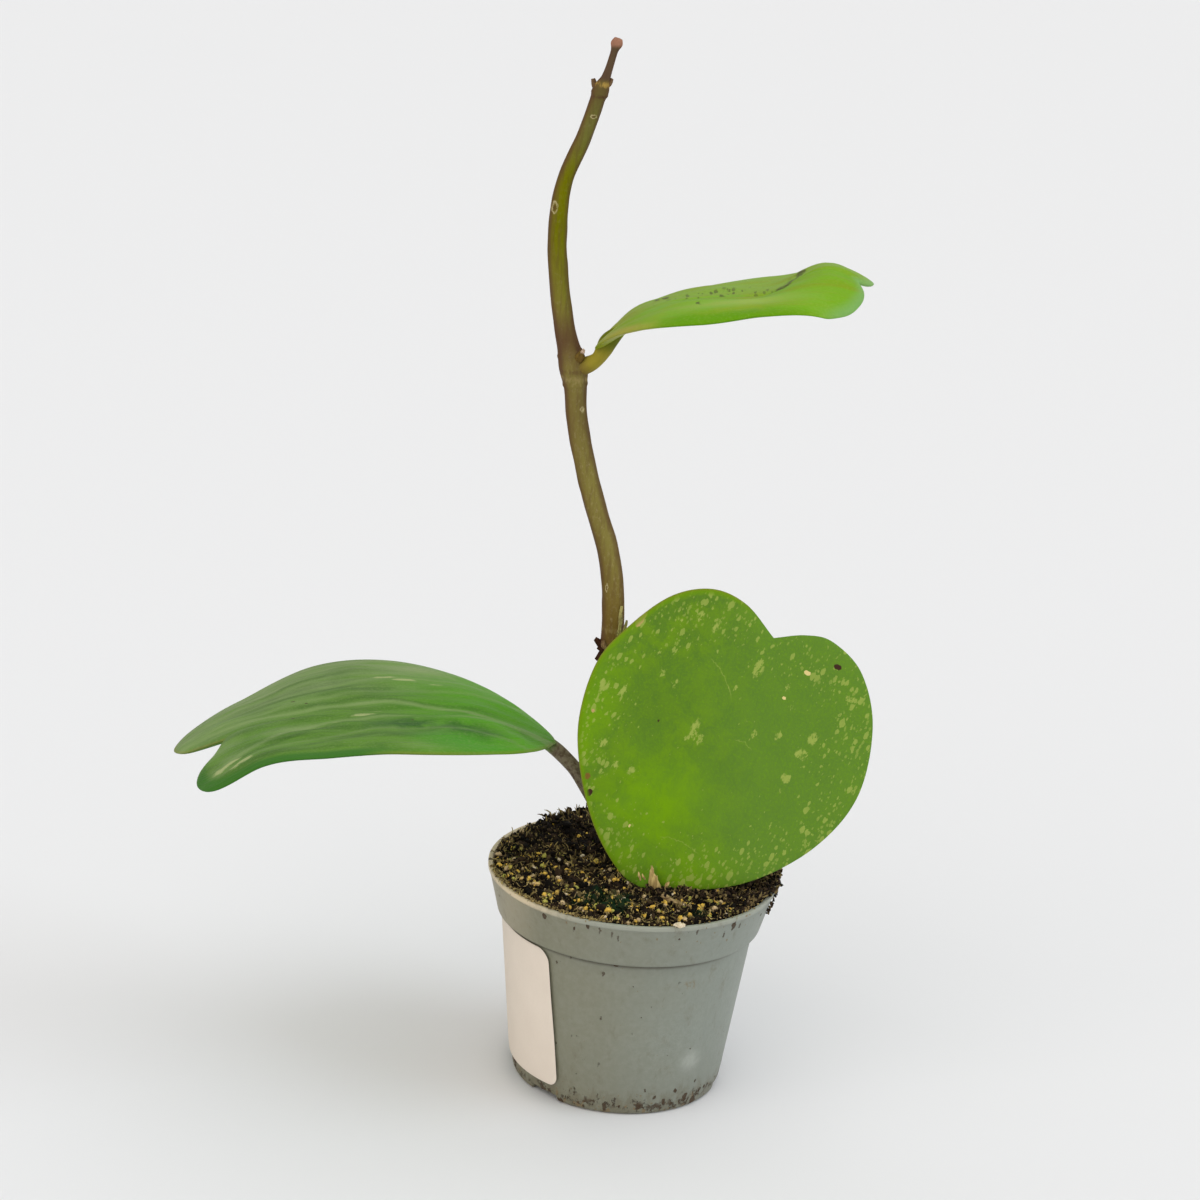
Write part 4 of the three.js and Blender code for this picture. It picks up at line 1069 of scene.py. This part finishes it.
small_flecks = ragged_place.flecks(0.55, 0.12 + (0.15 + 0.5 * crowd) * margins)
pale = (big * 0.95).larger(flecks * 0.75).larger(small_flecks * 0.5) * (0.5 + ragged * 0.8)
heart.coat(pale, LEAF_CREAM)
for (centre_u, centre_v), circle, middle, scratch_reach in LEAF_SCRATCHES:
    away = ragged_place.stretched((1 / 0.55, 1, 0), shift=(-centre_u, -centre_v, 0))
    distance = away.vectors("LENGTH", output="Value")
    ends = flat.patch(middle, scratch_reach)
    line = distance.near(circle, 0.16) * ends.band(0.0, 0.3)
    heart.coat(line * (0.05 + ragged * 0.8), LEAF_CREAM)
bits_place = flat.bent(0.7, 0.3)
for middle, bit_reach, bit_colour in LEAF_BITS:
    bit = bits_place.patch(middle, bit_reach) * (0.4 + ragged * 1.2)
    heart.coat(bit.band(0.3, 0.45) * heart.front, bit_colour)
edge_green = reach.band(0.955, 0.985) * v.band(4, 12)
heart.coat(edge_green * 0.8, LEAF_EDGE)
margin = reach.band(0.985, 0.998) * (v + cloud * 8).band(6, 16)
heart.coat(margin * 0.45, LEAF_MARGIN)
heart.dress(0.40 + fine * 0.14 + patchy * 0.1, vein_line * 0.6 + fine * 0.25 + patchy * 1.2, 0.14)
make_piece("heart_leaf", make_leaf(FRONT_LEAF), heart, "front_leaf_flesh", ["leaf_front"])


# The left leaf
# A long thick blade with a notched end, arched out to the left on a grey-brown stalk. Its veins run
# lengthwise and show as soft ridges, with painted highlights along them and painted shade in the
# furrows between, under a dull waxy bloom that is partly a painted grey sheen.
LEFT_LEAF = {
    "length": 82,
    "thickness": 2.0,
    "stations": [
        (-18.1, 2.0, 71.3, -3, 2, -3), (-33.6, -1.3, 76.6, 1, 6, -5),
        (-50.5, -3.6, 76.4, 0, 10, -3.5), (-65, -6, 75.1, 0, 7, -1.5),
        (-79.5, -9.2, 72.2, 4, 0, 0), (-93, -12.9, 66, -1, -2, -3),
    ],
    "outline": [
        (71.4, 0), (74.5, 5.5), (78.8, 10), (79.8, 15), (76.5, 20), (67.5, 24), (54, 26.5),
        (38, 27.4), (24.5, 25.6), (14.5, 20.4), (7, 12.3), (1, 3), (0, 0), (1, -4), (5.2, -11.8),
        (11.2, -20.3), (19, -26), (30, -28), (50, -26.4), (67, -21.5), (77.5, -14.5),
        (82.3, -7.5), (81, -3), (76, -1.2), (71.4, 0),
    ],
    "stalk": [
        (-23.0, 1.4, 72.3, 0.9), (-20.2, 1.9, 71.1, 1.3), (-17.8, 1.8, 69.6, 1.45),
        (-15.3, 1.6, 67.5, 1.45), (-13.2, 1.5, 65.3, 1.45), (-10.4, 1.5, 61.2, 1.5),
        (-7.3, 1.7, 56.7, 1.7), (-4.0, 2.0, 52.4, 1.9),
    ],
    "splashes": [
        (35.0, -15.8, 2.8, 0.7, 0.9), (30.5, -14.2, 2.6, 0.7, 1), (24.5, -12.2, 2.0, 0.6, 0.7),
        (46.0, 7.2, 2.6, 0.8, 0.7), (40.5, 3.0, 3.2, 0.7, 0.9), (37.5, 0.6, 2.0, 0.6, 0.8),
        (73.0, 15.8, 3.5, 1.0, 0.8), (69.0, 18.5, 3.0, 0.9, 0.8), (43.5, -2.5, 1.5, 0.5, 0.5),
    ],
    "waves": 0.18,
    "groove": 0.25,
    "ridges": 0.20,
    "level": (0, 1, 0),
}
LONG_MID = (0.106, 0.240, 0.024, 1)
LONG_BRIGHT = (0.080, 0.325, 0.001, 1)
LONG_TURQUOISE = (0.040, 0.255, 0.060, 1)
LONG_GREY = (0.305, 0.355, 0.205, 1)
LONG_DARK = (0.040, 0.112, 0.014, 1)
LONG_SHADE = (0.022, 0.102, 0.008, 1)
LONG_LIGHT = (0.235, 0.335, 0.125, 1)
LONG_CREAM = (0.40, 0.46, 0.20, 1)
LONG_UNDER = (0.036, 0.152, 0.016, 1)
STALK_GREY = (0.215, 0.180, 0.120, 1)
STALK_BROWN = (0.095, 0.066, 0.042, 1)
# painted highlight along the ridges of the midrib and the side veins, where they run: v at the base
# and its change between two u; reach, share
LONG_VEIN_HIGHLIGHTS = [
    (3.4, -7, 12, 36, 1.5, 0.60), (5.2, 11, 44, 76, 1.7, 0.50), (-9.0, 3, 30, 70, 1.2, 0.30),
    (-15.0, 4, 30, 72, 1.2, 0.30), (14.0, 4, 30, 70, 1.2, 0.25),
]
# painted shade in the furrows between the veins, the same way
LONG_FURROW_SHADES = [
    (0.8, -7, 12, 44), (8.5, 9, 40, 74), (-6.5, 2, 26, 66), (-12.0, 3, 34, 74), (-19.5, 5, 34, 70),
    (17.5, 3, 30, 66),
]
# middle, reach, share and colour of a patch: LONG_SHADE for painted shade, LONG_LIGHT for a painted
# highlight
LONG_SHADE_AND_HIGHLIGHT_PATCHES = [
    ((20, 13), (11, 6.5), 1.1, LONG_SHADE), ((18, 1), (9, 4.5), 0.4, LONG_SHADE),
    ((32, 11.5), (13, 6.5), 1.1, LONG_SHADE), ((40, 10), (12, 4), 0.3, LONG_SHADE),
    ((46, -10), (16, 2.4), 0.3, LONG_SHADE), ((9, 6), (6, 5), 0.6, LONG_SHADE),
    ((44, -19), (8, 4), 0.35, LONG_SHADE), ((38, 25), (6, 3), 0.5, LONG_SHADE),
    ((27, -21), (12, 6), 0.8, LONG_LIGHT), ((57, 8), (11, 4.5), 0.7, LONG_LIGHT),
    ((74, 6), (10, 6), 0.5, LONG_LIGHT), ((72, 14), (7, 5), 0.6, LONG_LIGHT),
    ((29, 24), (9, 3.0), 0.3, LONG_LIGHT),
]
# middle and reach of a bit of dirt
LONG_BITS = [
    ((55.2, -7.8), (0.8, 0.35)), ((52.5, -6.0), (0.6, 0.3)), ((56.0, 1.8), (0.7, 0.3)),
    ((30, 9), (0.4, 0.3)),
]

arched = LeafSkin("long_leaf_skin", LONG_MID, 0.1)
flat, u, v, reach, fine = arched.flat, arched.u, arched.v, arched.reach, arched.fine
cloud = flat.noise(12, 3)
vein_place = arched.veins(0.035, 5)
streaks = vein_place.noise(1, 4, 0.62)
fine_streaks = vein_place.stretched((1.6, 3.2, 1)).noise(1, 3, 0.6)
arched.coat(streaks.band(0.42, 0.66) * 0.65, LONG_DARK)
bright = (u * -1 + cloud * 14).band(-34, -6)
arched.coat(bright * (0.35 + streaks * 0.8), LONG_BRIGHT)
arched.coat(flat.patch((21, 20), (14, 7)) * 0.25, LONG_TURQUOISE)
on_blade = flat.stretched((1, 1, 0)).bent(5, 1.5)
# patches of painted shade and painted highlight over the blade
for middle, patch_reach, share, patch_colour in LONG_SHADE_AND_HIGHLIGHT_PATCHES:
    shade = on_blade.patch((*middle, 0), (*patch_reach, 1)) * (0.5 + streaks)
    arched.coat(shade * share, patch_colour)
# partly a painted sheen: grey streaks over the upper half towards the end, where light glances off
# the waxy bloom
bloom_and_sheen = (v * -0.8 + cloud * 12 + u * 0.3).band(16, 44)
arched.coat(bloom_and_sheen * (fine_streaks * 1.4 - 0.2), LONG_GREY)
wander = (cloud - 0.5) * 3
# painted shade along the furrows and painted highlights along the vein ridges
for start, rise, low, high in LONG_FURROW_SHADES:
    on_line = v + wander - u.band(low, high) * rise
    furrow_shade = on_line.near(start, 1.3) * u.near((low + high) / 2, (high - low) * 0.7)
    arched.coat(furrow_shade * (fine_streaks * 1.3 - 0.15), LONG_DARK)
for start, rise, low, high, line_reach, share in LONG_VEIN_HIGHLIGHTS:
    on_line = v + wander - u.band(low, high) * rise
    line = on_line.near(start, line_reach) * (0.3 + fine_streaks * 1.4)
    arched.coat(line * share, LONG_LIGHT)
arched.grained(LONG_LIGHT, 0.42, LONG_DARK, 0.45)
splash = arched.attribute("splash")
ragged = flat.stretched((0.22, 1, 1)).bent(0.6, 0.2).noise(0.8, 5, 0.75)
big = (splash + (ragged - 0.5) * 2.4).band(0.45, 0.75)
arched.coat(big * 0.8, LONG_CREAM)
for middle, bit_reach in LONG_BITS:
    bit = flat.patch(middle, bit_reach).band(0.2, 0.5)
    arched.coat(bit * arched.front * 0.85, LEAF_DIRT)
lower_edge = reach.band(0.90, 0.96) * v.band(6, 14) * u.band(32, 44)
arched.coat(lower_edge.larger((1 - arched.front) * u.band(20, 44)) * 0.85, LONG_UNDER)
arched.coat(reach.band(0.975, 0.997) * (1 - lower_edge) * 0.3, LEAF_MARGIN)
stalk_grain = arched.place().noise(0.9, 5, 0.7)
stalk_colour = arched.mix(stalk_grain.band(0.38, 0.68), STALK_GREY, STALK_BROWN)
arched.coat(arched.attribute("stalk").band(0.08, 0.22), stalk_colour)
relief = streaks * 1.3 + fine_streaks * 0.5 + fine * 0.12
arched.dress(0.36 + fine * 0.14 + bloom_and_sheen * 0.14, relief, 0.42)
make_piece("long_leaf", make_leaf(LEFT_LEAF), arched, "left_leaf_flesh", ["leaf_left"])


# The upper leaf
# A younger, brighter blade held out to the right on a short olive stalk, folded up along its midrib
# like a gutter and curled at the end.
UPPER_LEAF = {
    "length": 62,
    "thickness": 2.1,
    "stations": [
        (-16.3, -1.1, 154.5, -9, 9, -3.7), (-7.7, -0.9, 161.7, -4, 3, -3),
        (3.2, -1.4, 165.3, -4, 11, -9.2), (16.2, -1.6, 167, -2, 12.5, -7.2),
        (27, -3.1, 173.3, 3, -3, -7.4), (37.5, -3.3, 170.3, 7.5, -3.7, -10),
    ],
    "outline": [
        (57, 0), (60, 3.2), (61.2, 7.5), (61.2, 11.3), (58.8, 15.6), (52, 19), (40.8, 21.3),
        (27.3, 22.1), (17.6, 20.6), (10.6, 16.5), (5, 9.9), (1, 3), (0, 0), (1, -3), (5.6, -10.9),
        (11.7, -18.2), (19.5, -22.9), (30.2, -24.5), (41, -23.2), (49.8, -20), (55.6, -15.6),
        (58.1, -9.6), (58.5, -4.4), (57, 0),
    ],
    "stalk": [
        (-11.6, -0.9, 158.6, 1.1), (-13.7, -0.6, 156.2, 1.7), (-14.6, 0.0, 154.2, 1.6),
        (-15.6, 0.9, 152.2, 1.35), (-17.2, 2.0, 150.7, 1.6), (-19.6, 3.2, 149.4, 1.9),
    ],
    "splashes": [],
    "waves": 0.15,
    "groove": 0.35,
    "ridges": 0.06,
    "level": (0, 1, 0),
}
YOUNG_MID = (0.220, 0.365, 0.012, 1)
YOUNG_BRIGHT = (0.165, 0.385, 0.008, 1)
YOUNG_DULL = (0.228, 0.378, 0.050, 1)
YOUNG_OLIVE = (0.262, 0.238, 0.004, 1)
YOUNG_RIM_SHEEN = (0.205, 0.420, 0.140, 1)
YOUNG_LOW = (0.112, 0.300, 0.001, 1)
YOUNG_CREST = (0.36, 0.50, 0.10, 1)
YOUNG_BROWN = (0.40, 0.34, 0.075, 1)
GROOVE_DIRT = (0.060, 0.050, 0.022, 1)
STALK_OLIVE = (0.32, 0.265, 0.030, 1)
STALK_GREEN = (0.130, 0.150, 0.010, 1)
# middle and reach of the dirt that has settled in the groove
GROOVE_BITS = [
    ((15.3, 6.5), (1.6, 2.8)), ((17.6, 6.0), (1.7, 3.2)), ((21.5, 0), (0.9, 1.7)),
    ((25.0, -13.2), (0.5, 2.2)), ((36.2, -0.8), (3.2, 1.8)), ((38.6, -0.2), (3.4, 2.4)),
    ((40.8, 1.2), (3.2, 3.2)), ((42.6, 3.8), (2.4, 4.2)), ((44.0, 7), (1.8, 4.4)),
    ((33.8, -1.5), (3.2, 1.3)),
]

young = LeafSkin("young_leaf_skin", YOUNG_MID, 0.06)
flat, u, v, reach, fine = young.flat, young.u, young.v, young.reach, young.fine
stalk = young.attribute("stalk")
cloud = flat.noise(9, 3)
streaks = young.veins(0.04, 6).noise(1, 3, 0.6)
young.coat(cloud.band(0.38, 0.64), YOUNG_BRIGHT)
young.coat((u + cloud * 10).band(38, 56) * 0.8, YOUNG_BRIGHT)
young.coat((v + cloud * 6).band(2, 7) * 0.85, YOUNG_DULL)
young.coat(streaks.band(0.45, 0.7) * 0.35, YOUNG_OLIVE)
young.coat((u * -1 + cloud * 8).band(-14, 2) * 0.6, YOUNG_OLIVE)
# painted highlight along the crest of the near half, just below the groove
crest_highlight = v.near(-15, 5.5) * u.near(34, 20)
young.coat(crest_highlight * 0.6, YOUNG_CREST)
low = (v * -1 + cloud * 4).band(21.5, 25) * u.band(12, 20) * (1 - u.band(44, 52))
young.coat(low * 0.9, YOUNG_LOW)
# painted cool sheen: a pale bluish rim round the blade's end, at the right
rim = reach.band(0.88, 0.99) * u.band(46, 56)
young.coat(rim * 0.7, YOUNG_RIM_SHEEN)
browned = (u + cloud * 8).near(14, 13) * (v * -1).band(2, 8)
browned = reach.band(0.90, 0.985) * browned
young.coat(browned * (0.2 + streaks), YOUNG_BROWN)
young.grained(YOUNG_CREST, 0.3, YOUNG_LOW, 0.4)
crumble = flat.bent(0.7, 0.4).noise(0.8, 5, 0.75)
groove = v.near(3, 8) * u.near(28, 22)
speckle = flat.stretched((1, 0.3, 1)).bent(0.7, 0.4).flecks(0.8, 0.6)
young.coat(groove * speckle.larger(crumble.band(0.55, 0.72) * 0.6) * 0.75, GROOVE_DIRT)
young.coat(v.near(0, 0.8) * u.near(30, 22) * 0.2, GROOVE_DIRT)
bits_place = flat.bent(3.5, 1.6).bent(0.8, 0.5)
bits = 0
for middle, bit_reach in GROOVE_BITS:
    bits = bits_place.patch(middle, bit_reach).larger(bits)
bits = (bits * (crumble * 2.6 - 0.5)).band(0.22, 0.75)
young.coat(bits * young.front * 0.85, GROOVE_DIRT)
stalk_colour = young.mix((stalk + crumble * 0.2).band(0.30, 0.60), STALK_GREEN, STALK_OLIVE)
young.coat(stalk.band(0.02, 0.10), stalk_colour)
young.coat((stalk + crumble * 0.3).band(0.75, 1.1) * 0.7, BARK_PURPLE)
young.dress(0.38 + fine * 0.15, streaks * 0.8 + fine * 0.3 + crumble * 0.2, 0.25)
make_piece("young_leaf", make_leaf(UPPER_LEAF), young, "upper_leaf_flesh", ["leaf_upper"])


# The dry bits at the front leaf's foot
# A papery brown bud scale that stands before the blade, and a dead stalk lying on the soil.
SCALE_FOOT = (4.5, -14.6, 45.4)
DEAD_STALK = [(6, -16.9), (8, -17.8), (10, -18.7), (12, -19.4)]
HUSK_LIGHT = (0.68, 0.52, 0.21, 1)
HUSK_SHADE = (0.30, 0.19, 0.07, 1)
DEAD_TAN = (0.50, 0.36, 0.17, 1)
DEAD_BROWN = (0.12, 0.07, 0.03, 1)
SCALE_OUTLINE = [
    (0, -1.35), (2.4, -1.45), (4.6, -1.35), (5.6, -1.3), (6.9, -0.95), (6.2, -0.55), (5.3, -0.35),
    (4.8, 0.1), (4.9, 0.3), (3.9, 0.55), (3.0, 1.1), (2.2, 1.35), (1.6, 1.9), (0, 1.7), (0, -1.35),
]
# loose flakes of the same skin that lean on the blade: x, y, z and radius
FLAKES = [
    [(1.5, -15.0, 49.2, 0.10), (1.2, -15.0, 50.1, 0.24), (0.9, -14.8, 51.0, 0.06)],
    [(2.4, -15.1, 49.5, 0.08), (2.0, -15.1, 50.1, 0.22), (1.7, -14.9, 50.7, 0.06)],
    [(6.5, -15.1, 48.1, 0.10), (6.9, -15.1, 48.8, 0.40), (7.3, -15.0, 49.5, 0.10)],
]

husk = Finish("dry_scale_paper", HUSK_LIGHT, IOR=1.4, Specular_IOR_Level=0.2)
grain = husk.place().stretched((1, 1, 0.15)).noise(0.4, 4)
husk.coat(grain.band(0.3, 0.7), HUSK_SHADE)
husk.dress(0.6 + grain * 0.3, grain, 0.15)
lobe = refined(np.array(SCALE_OUTLINE, float), step=0.15)[:-1]
u, v, reach, side = pressed(lobe, middle=3.1, rings=8)
half = 0.3 * np.sqrt(1 - reach ** 4) * (1 - u / 11)
cup = 0.10 * v * v + 0.015 * u * u + 0.1 * waves(np.stack([u * 0.3, v], -1), 1.2, 6)
rings = np.array(SCALE_FOOT) + np.stack([v, cup - side * half, u], -1)
husks = [skin(rings, rings[0].mean(0), rings[-1].mean(0))]
for line in FLAKES:
    husks.append(tube(line, sides=10, steps=14,
                      shape=lambda c, a: 0.06 * np.cos(3 * a + 5 * c[..., 2])))
make_piece("papery_scale", husks, husk, "dry_husk", ["dry_scale"])

dead = Finish("dead_stalk_wood", DEAD_TAN, IOR=1.4)
grain = dead.place().stretched((0.2, 1, 1), (0, 0, 20)).noise(0.4, 4)
dead.coat(grain.band(0.3, 0.7), DEAD_BROWN)
dead.dress(0.6 + grain * 0.3, grain, 0.2)
line = []
for i, (x, y) in enumerate(DEAD_STALK):
    line.append((x, y, soil_height(x, y) + 0.7 - 0.1 * i, 0.62 - 0.09 * i))
dead_bit = tube(line, sides=16, steps=40, level=(0, 0, 1),
                shape=lambda c, a: 0.1 * np.cos(3 * a + 2 * c[..., 0]))
make_piece("dead_stalk_bit", [dead_bit], dead, "dead_wood", ["dead_stalk"])


# The floor, the lights and the camera
# A plain pale sheet under soft studio light from above, cooler from the right and warmer from the
# left. The camera stands where the photograph was taken from.
FLOOR_PALE = (0.81, 0.816, 0.842, 1)
FLOOR_REACH = 6000
FLOOR_DROP = 0.02
SKY_LOW = (0.50, 0.49, 0.465, 1)
SKY_HIGH = (0.62, 0.615, 0.60, 1)
CAMERA_PLACE = (-0.011334, -0.51968, 0.26344)
CAMERA_TILT = math.radians(17.158)
CAMERA_ROLL = math.radians(4.724)
CAMERA_LENS = 81
CAMERA_SENSOR = 36
# name, the way to the light, strength, spread in degrees, colour
LIGHTS = [
    ("soft_light_above", (0.10, 0.05, 1.0), 0.62, 80, (1.0, 0.985, 0.96)),
    ("window_at_the_right", (1.0, -0.10, 0.66), 0.85, 36, (0.86, 0.94, 1.0)),
    ("warm_fill_at_the_left", (-0.55, -1.0, 0.70), 0.90, 70, (1.0, 0.945, 0.86)),
]


def looking(place, right, up):
    """Matrix of a thing at a place, with its x and y axes along right and up, facing -z."""
    right, up = np.array(right) / np.linalg.norm(right), np.array(up) / np.linalg.norm(up)
    matrix = np.eye(4)
    matrix[:3, :3] = np.stack([right, up, np.cross(right, up)], -1)
    matrix[:3, 3] = place
    return Matrix(matrix.tolist())


backing = Finish("plain_pale_floor", FLOOR_PALE, Roughness=0.9)
corners = FLOOR_REACH * np.array([(-1, -1, 0), (1, -1, 0), (1, 1, 0), (-1, 1, 0)])
corners = corners - (0, 0, FLOOR_DROP)
sheet = {"points": corners, "quads": np.array([[0, 1, 2, 3]]), "fans": np.zeros((0, 3), int),
         "values": {}}
floor = make_piece("floor", [sheet], backing, None)

world = bpy.data.worlds.new("pale_room")
room = Nodes(world, "Background")
height = room.node("ShaderNodeTexCoord", output="Generated").parts()[2]
room.feed("Color", room.mix(height, SKY_LOW, SKY_HIGH))
bpy.context.scene.world = world

for name, way, strength, spread, tint in LIGHTS:
    lamp = bpy.data.lights.new(name, "SUN")
    lamp.energy = strength
    lamp.angle = math.radians(spread)
    lamp.color = tint
    light = bpy.data.objects.new(name, lamp)
    bpy.context.scene.collection.objects.link(light)
    right = np.cross((0, 1, 0), way)
    light.matrix_world = looking(way, right, np.cross(way, right))

lens = bpy.data.cameras.new("camera")
lens.lens = CAMERA_LENS
lens.sensor_width = CAMERA_SENSOR
camera = bpy.data.objects.new("camera", lens)
bpy.context.scene.collection.objects.link(camera)
flat_right = np.array([1, 0, 0])
flat_up = np.array([0, math.sin(CAMERA_TILT), math.cos(CAMERA_TILT)])
right = math.cos(CAMERA_ROLL) * flat_right + math.sin(CAMERA_ROLL) * flat_up
up = math.cos(CAMERA_ROLL) * flat_up - math.sin(CAMERA_ROLL) * flat_right
camera.matrix_world = looking(CAMERA_PLACE, right, up)
bpy.context.scene.camera = camera
bpy.context.scene.view_settings.view_transform = "Standard"
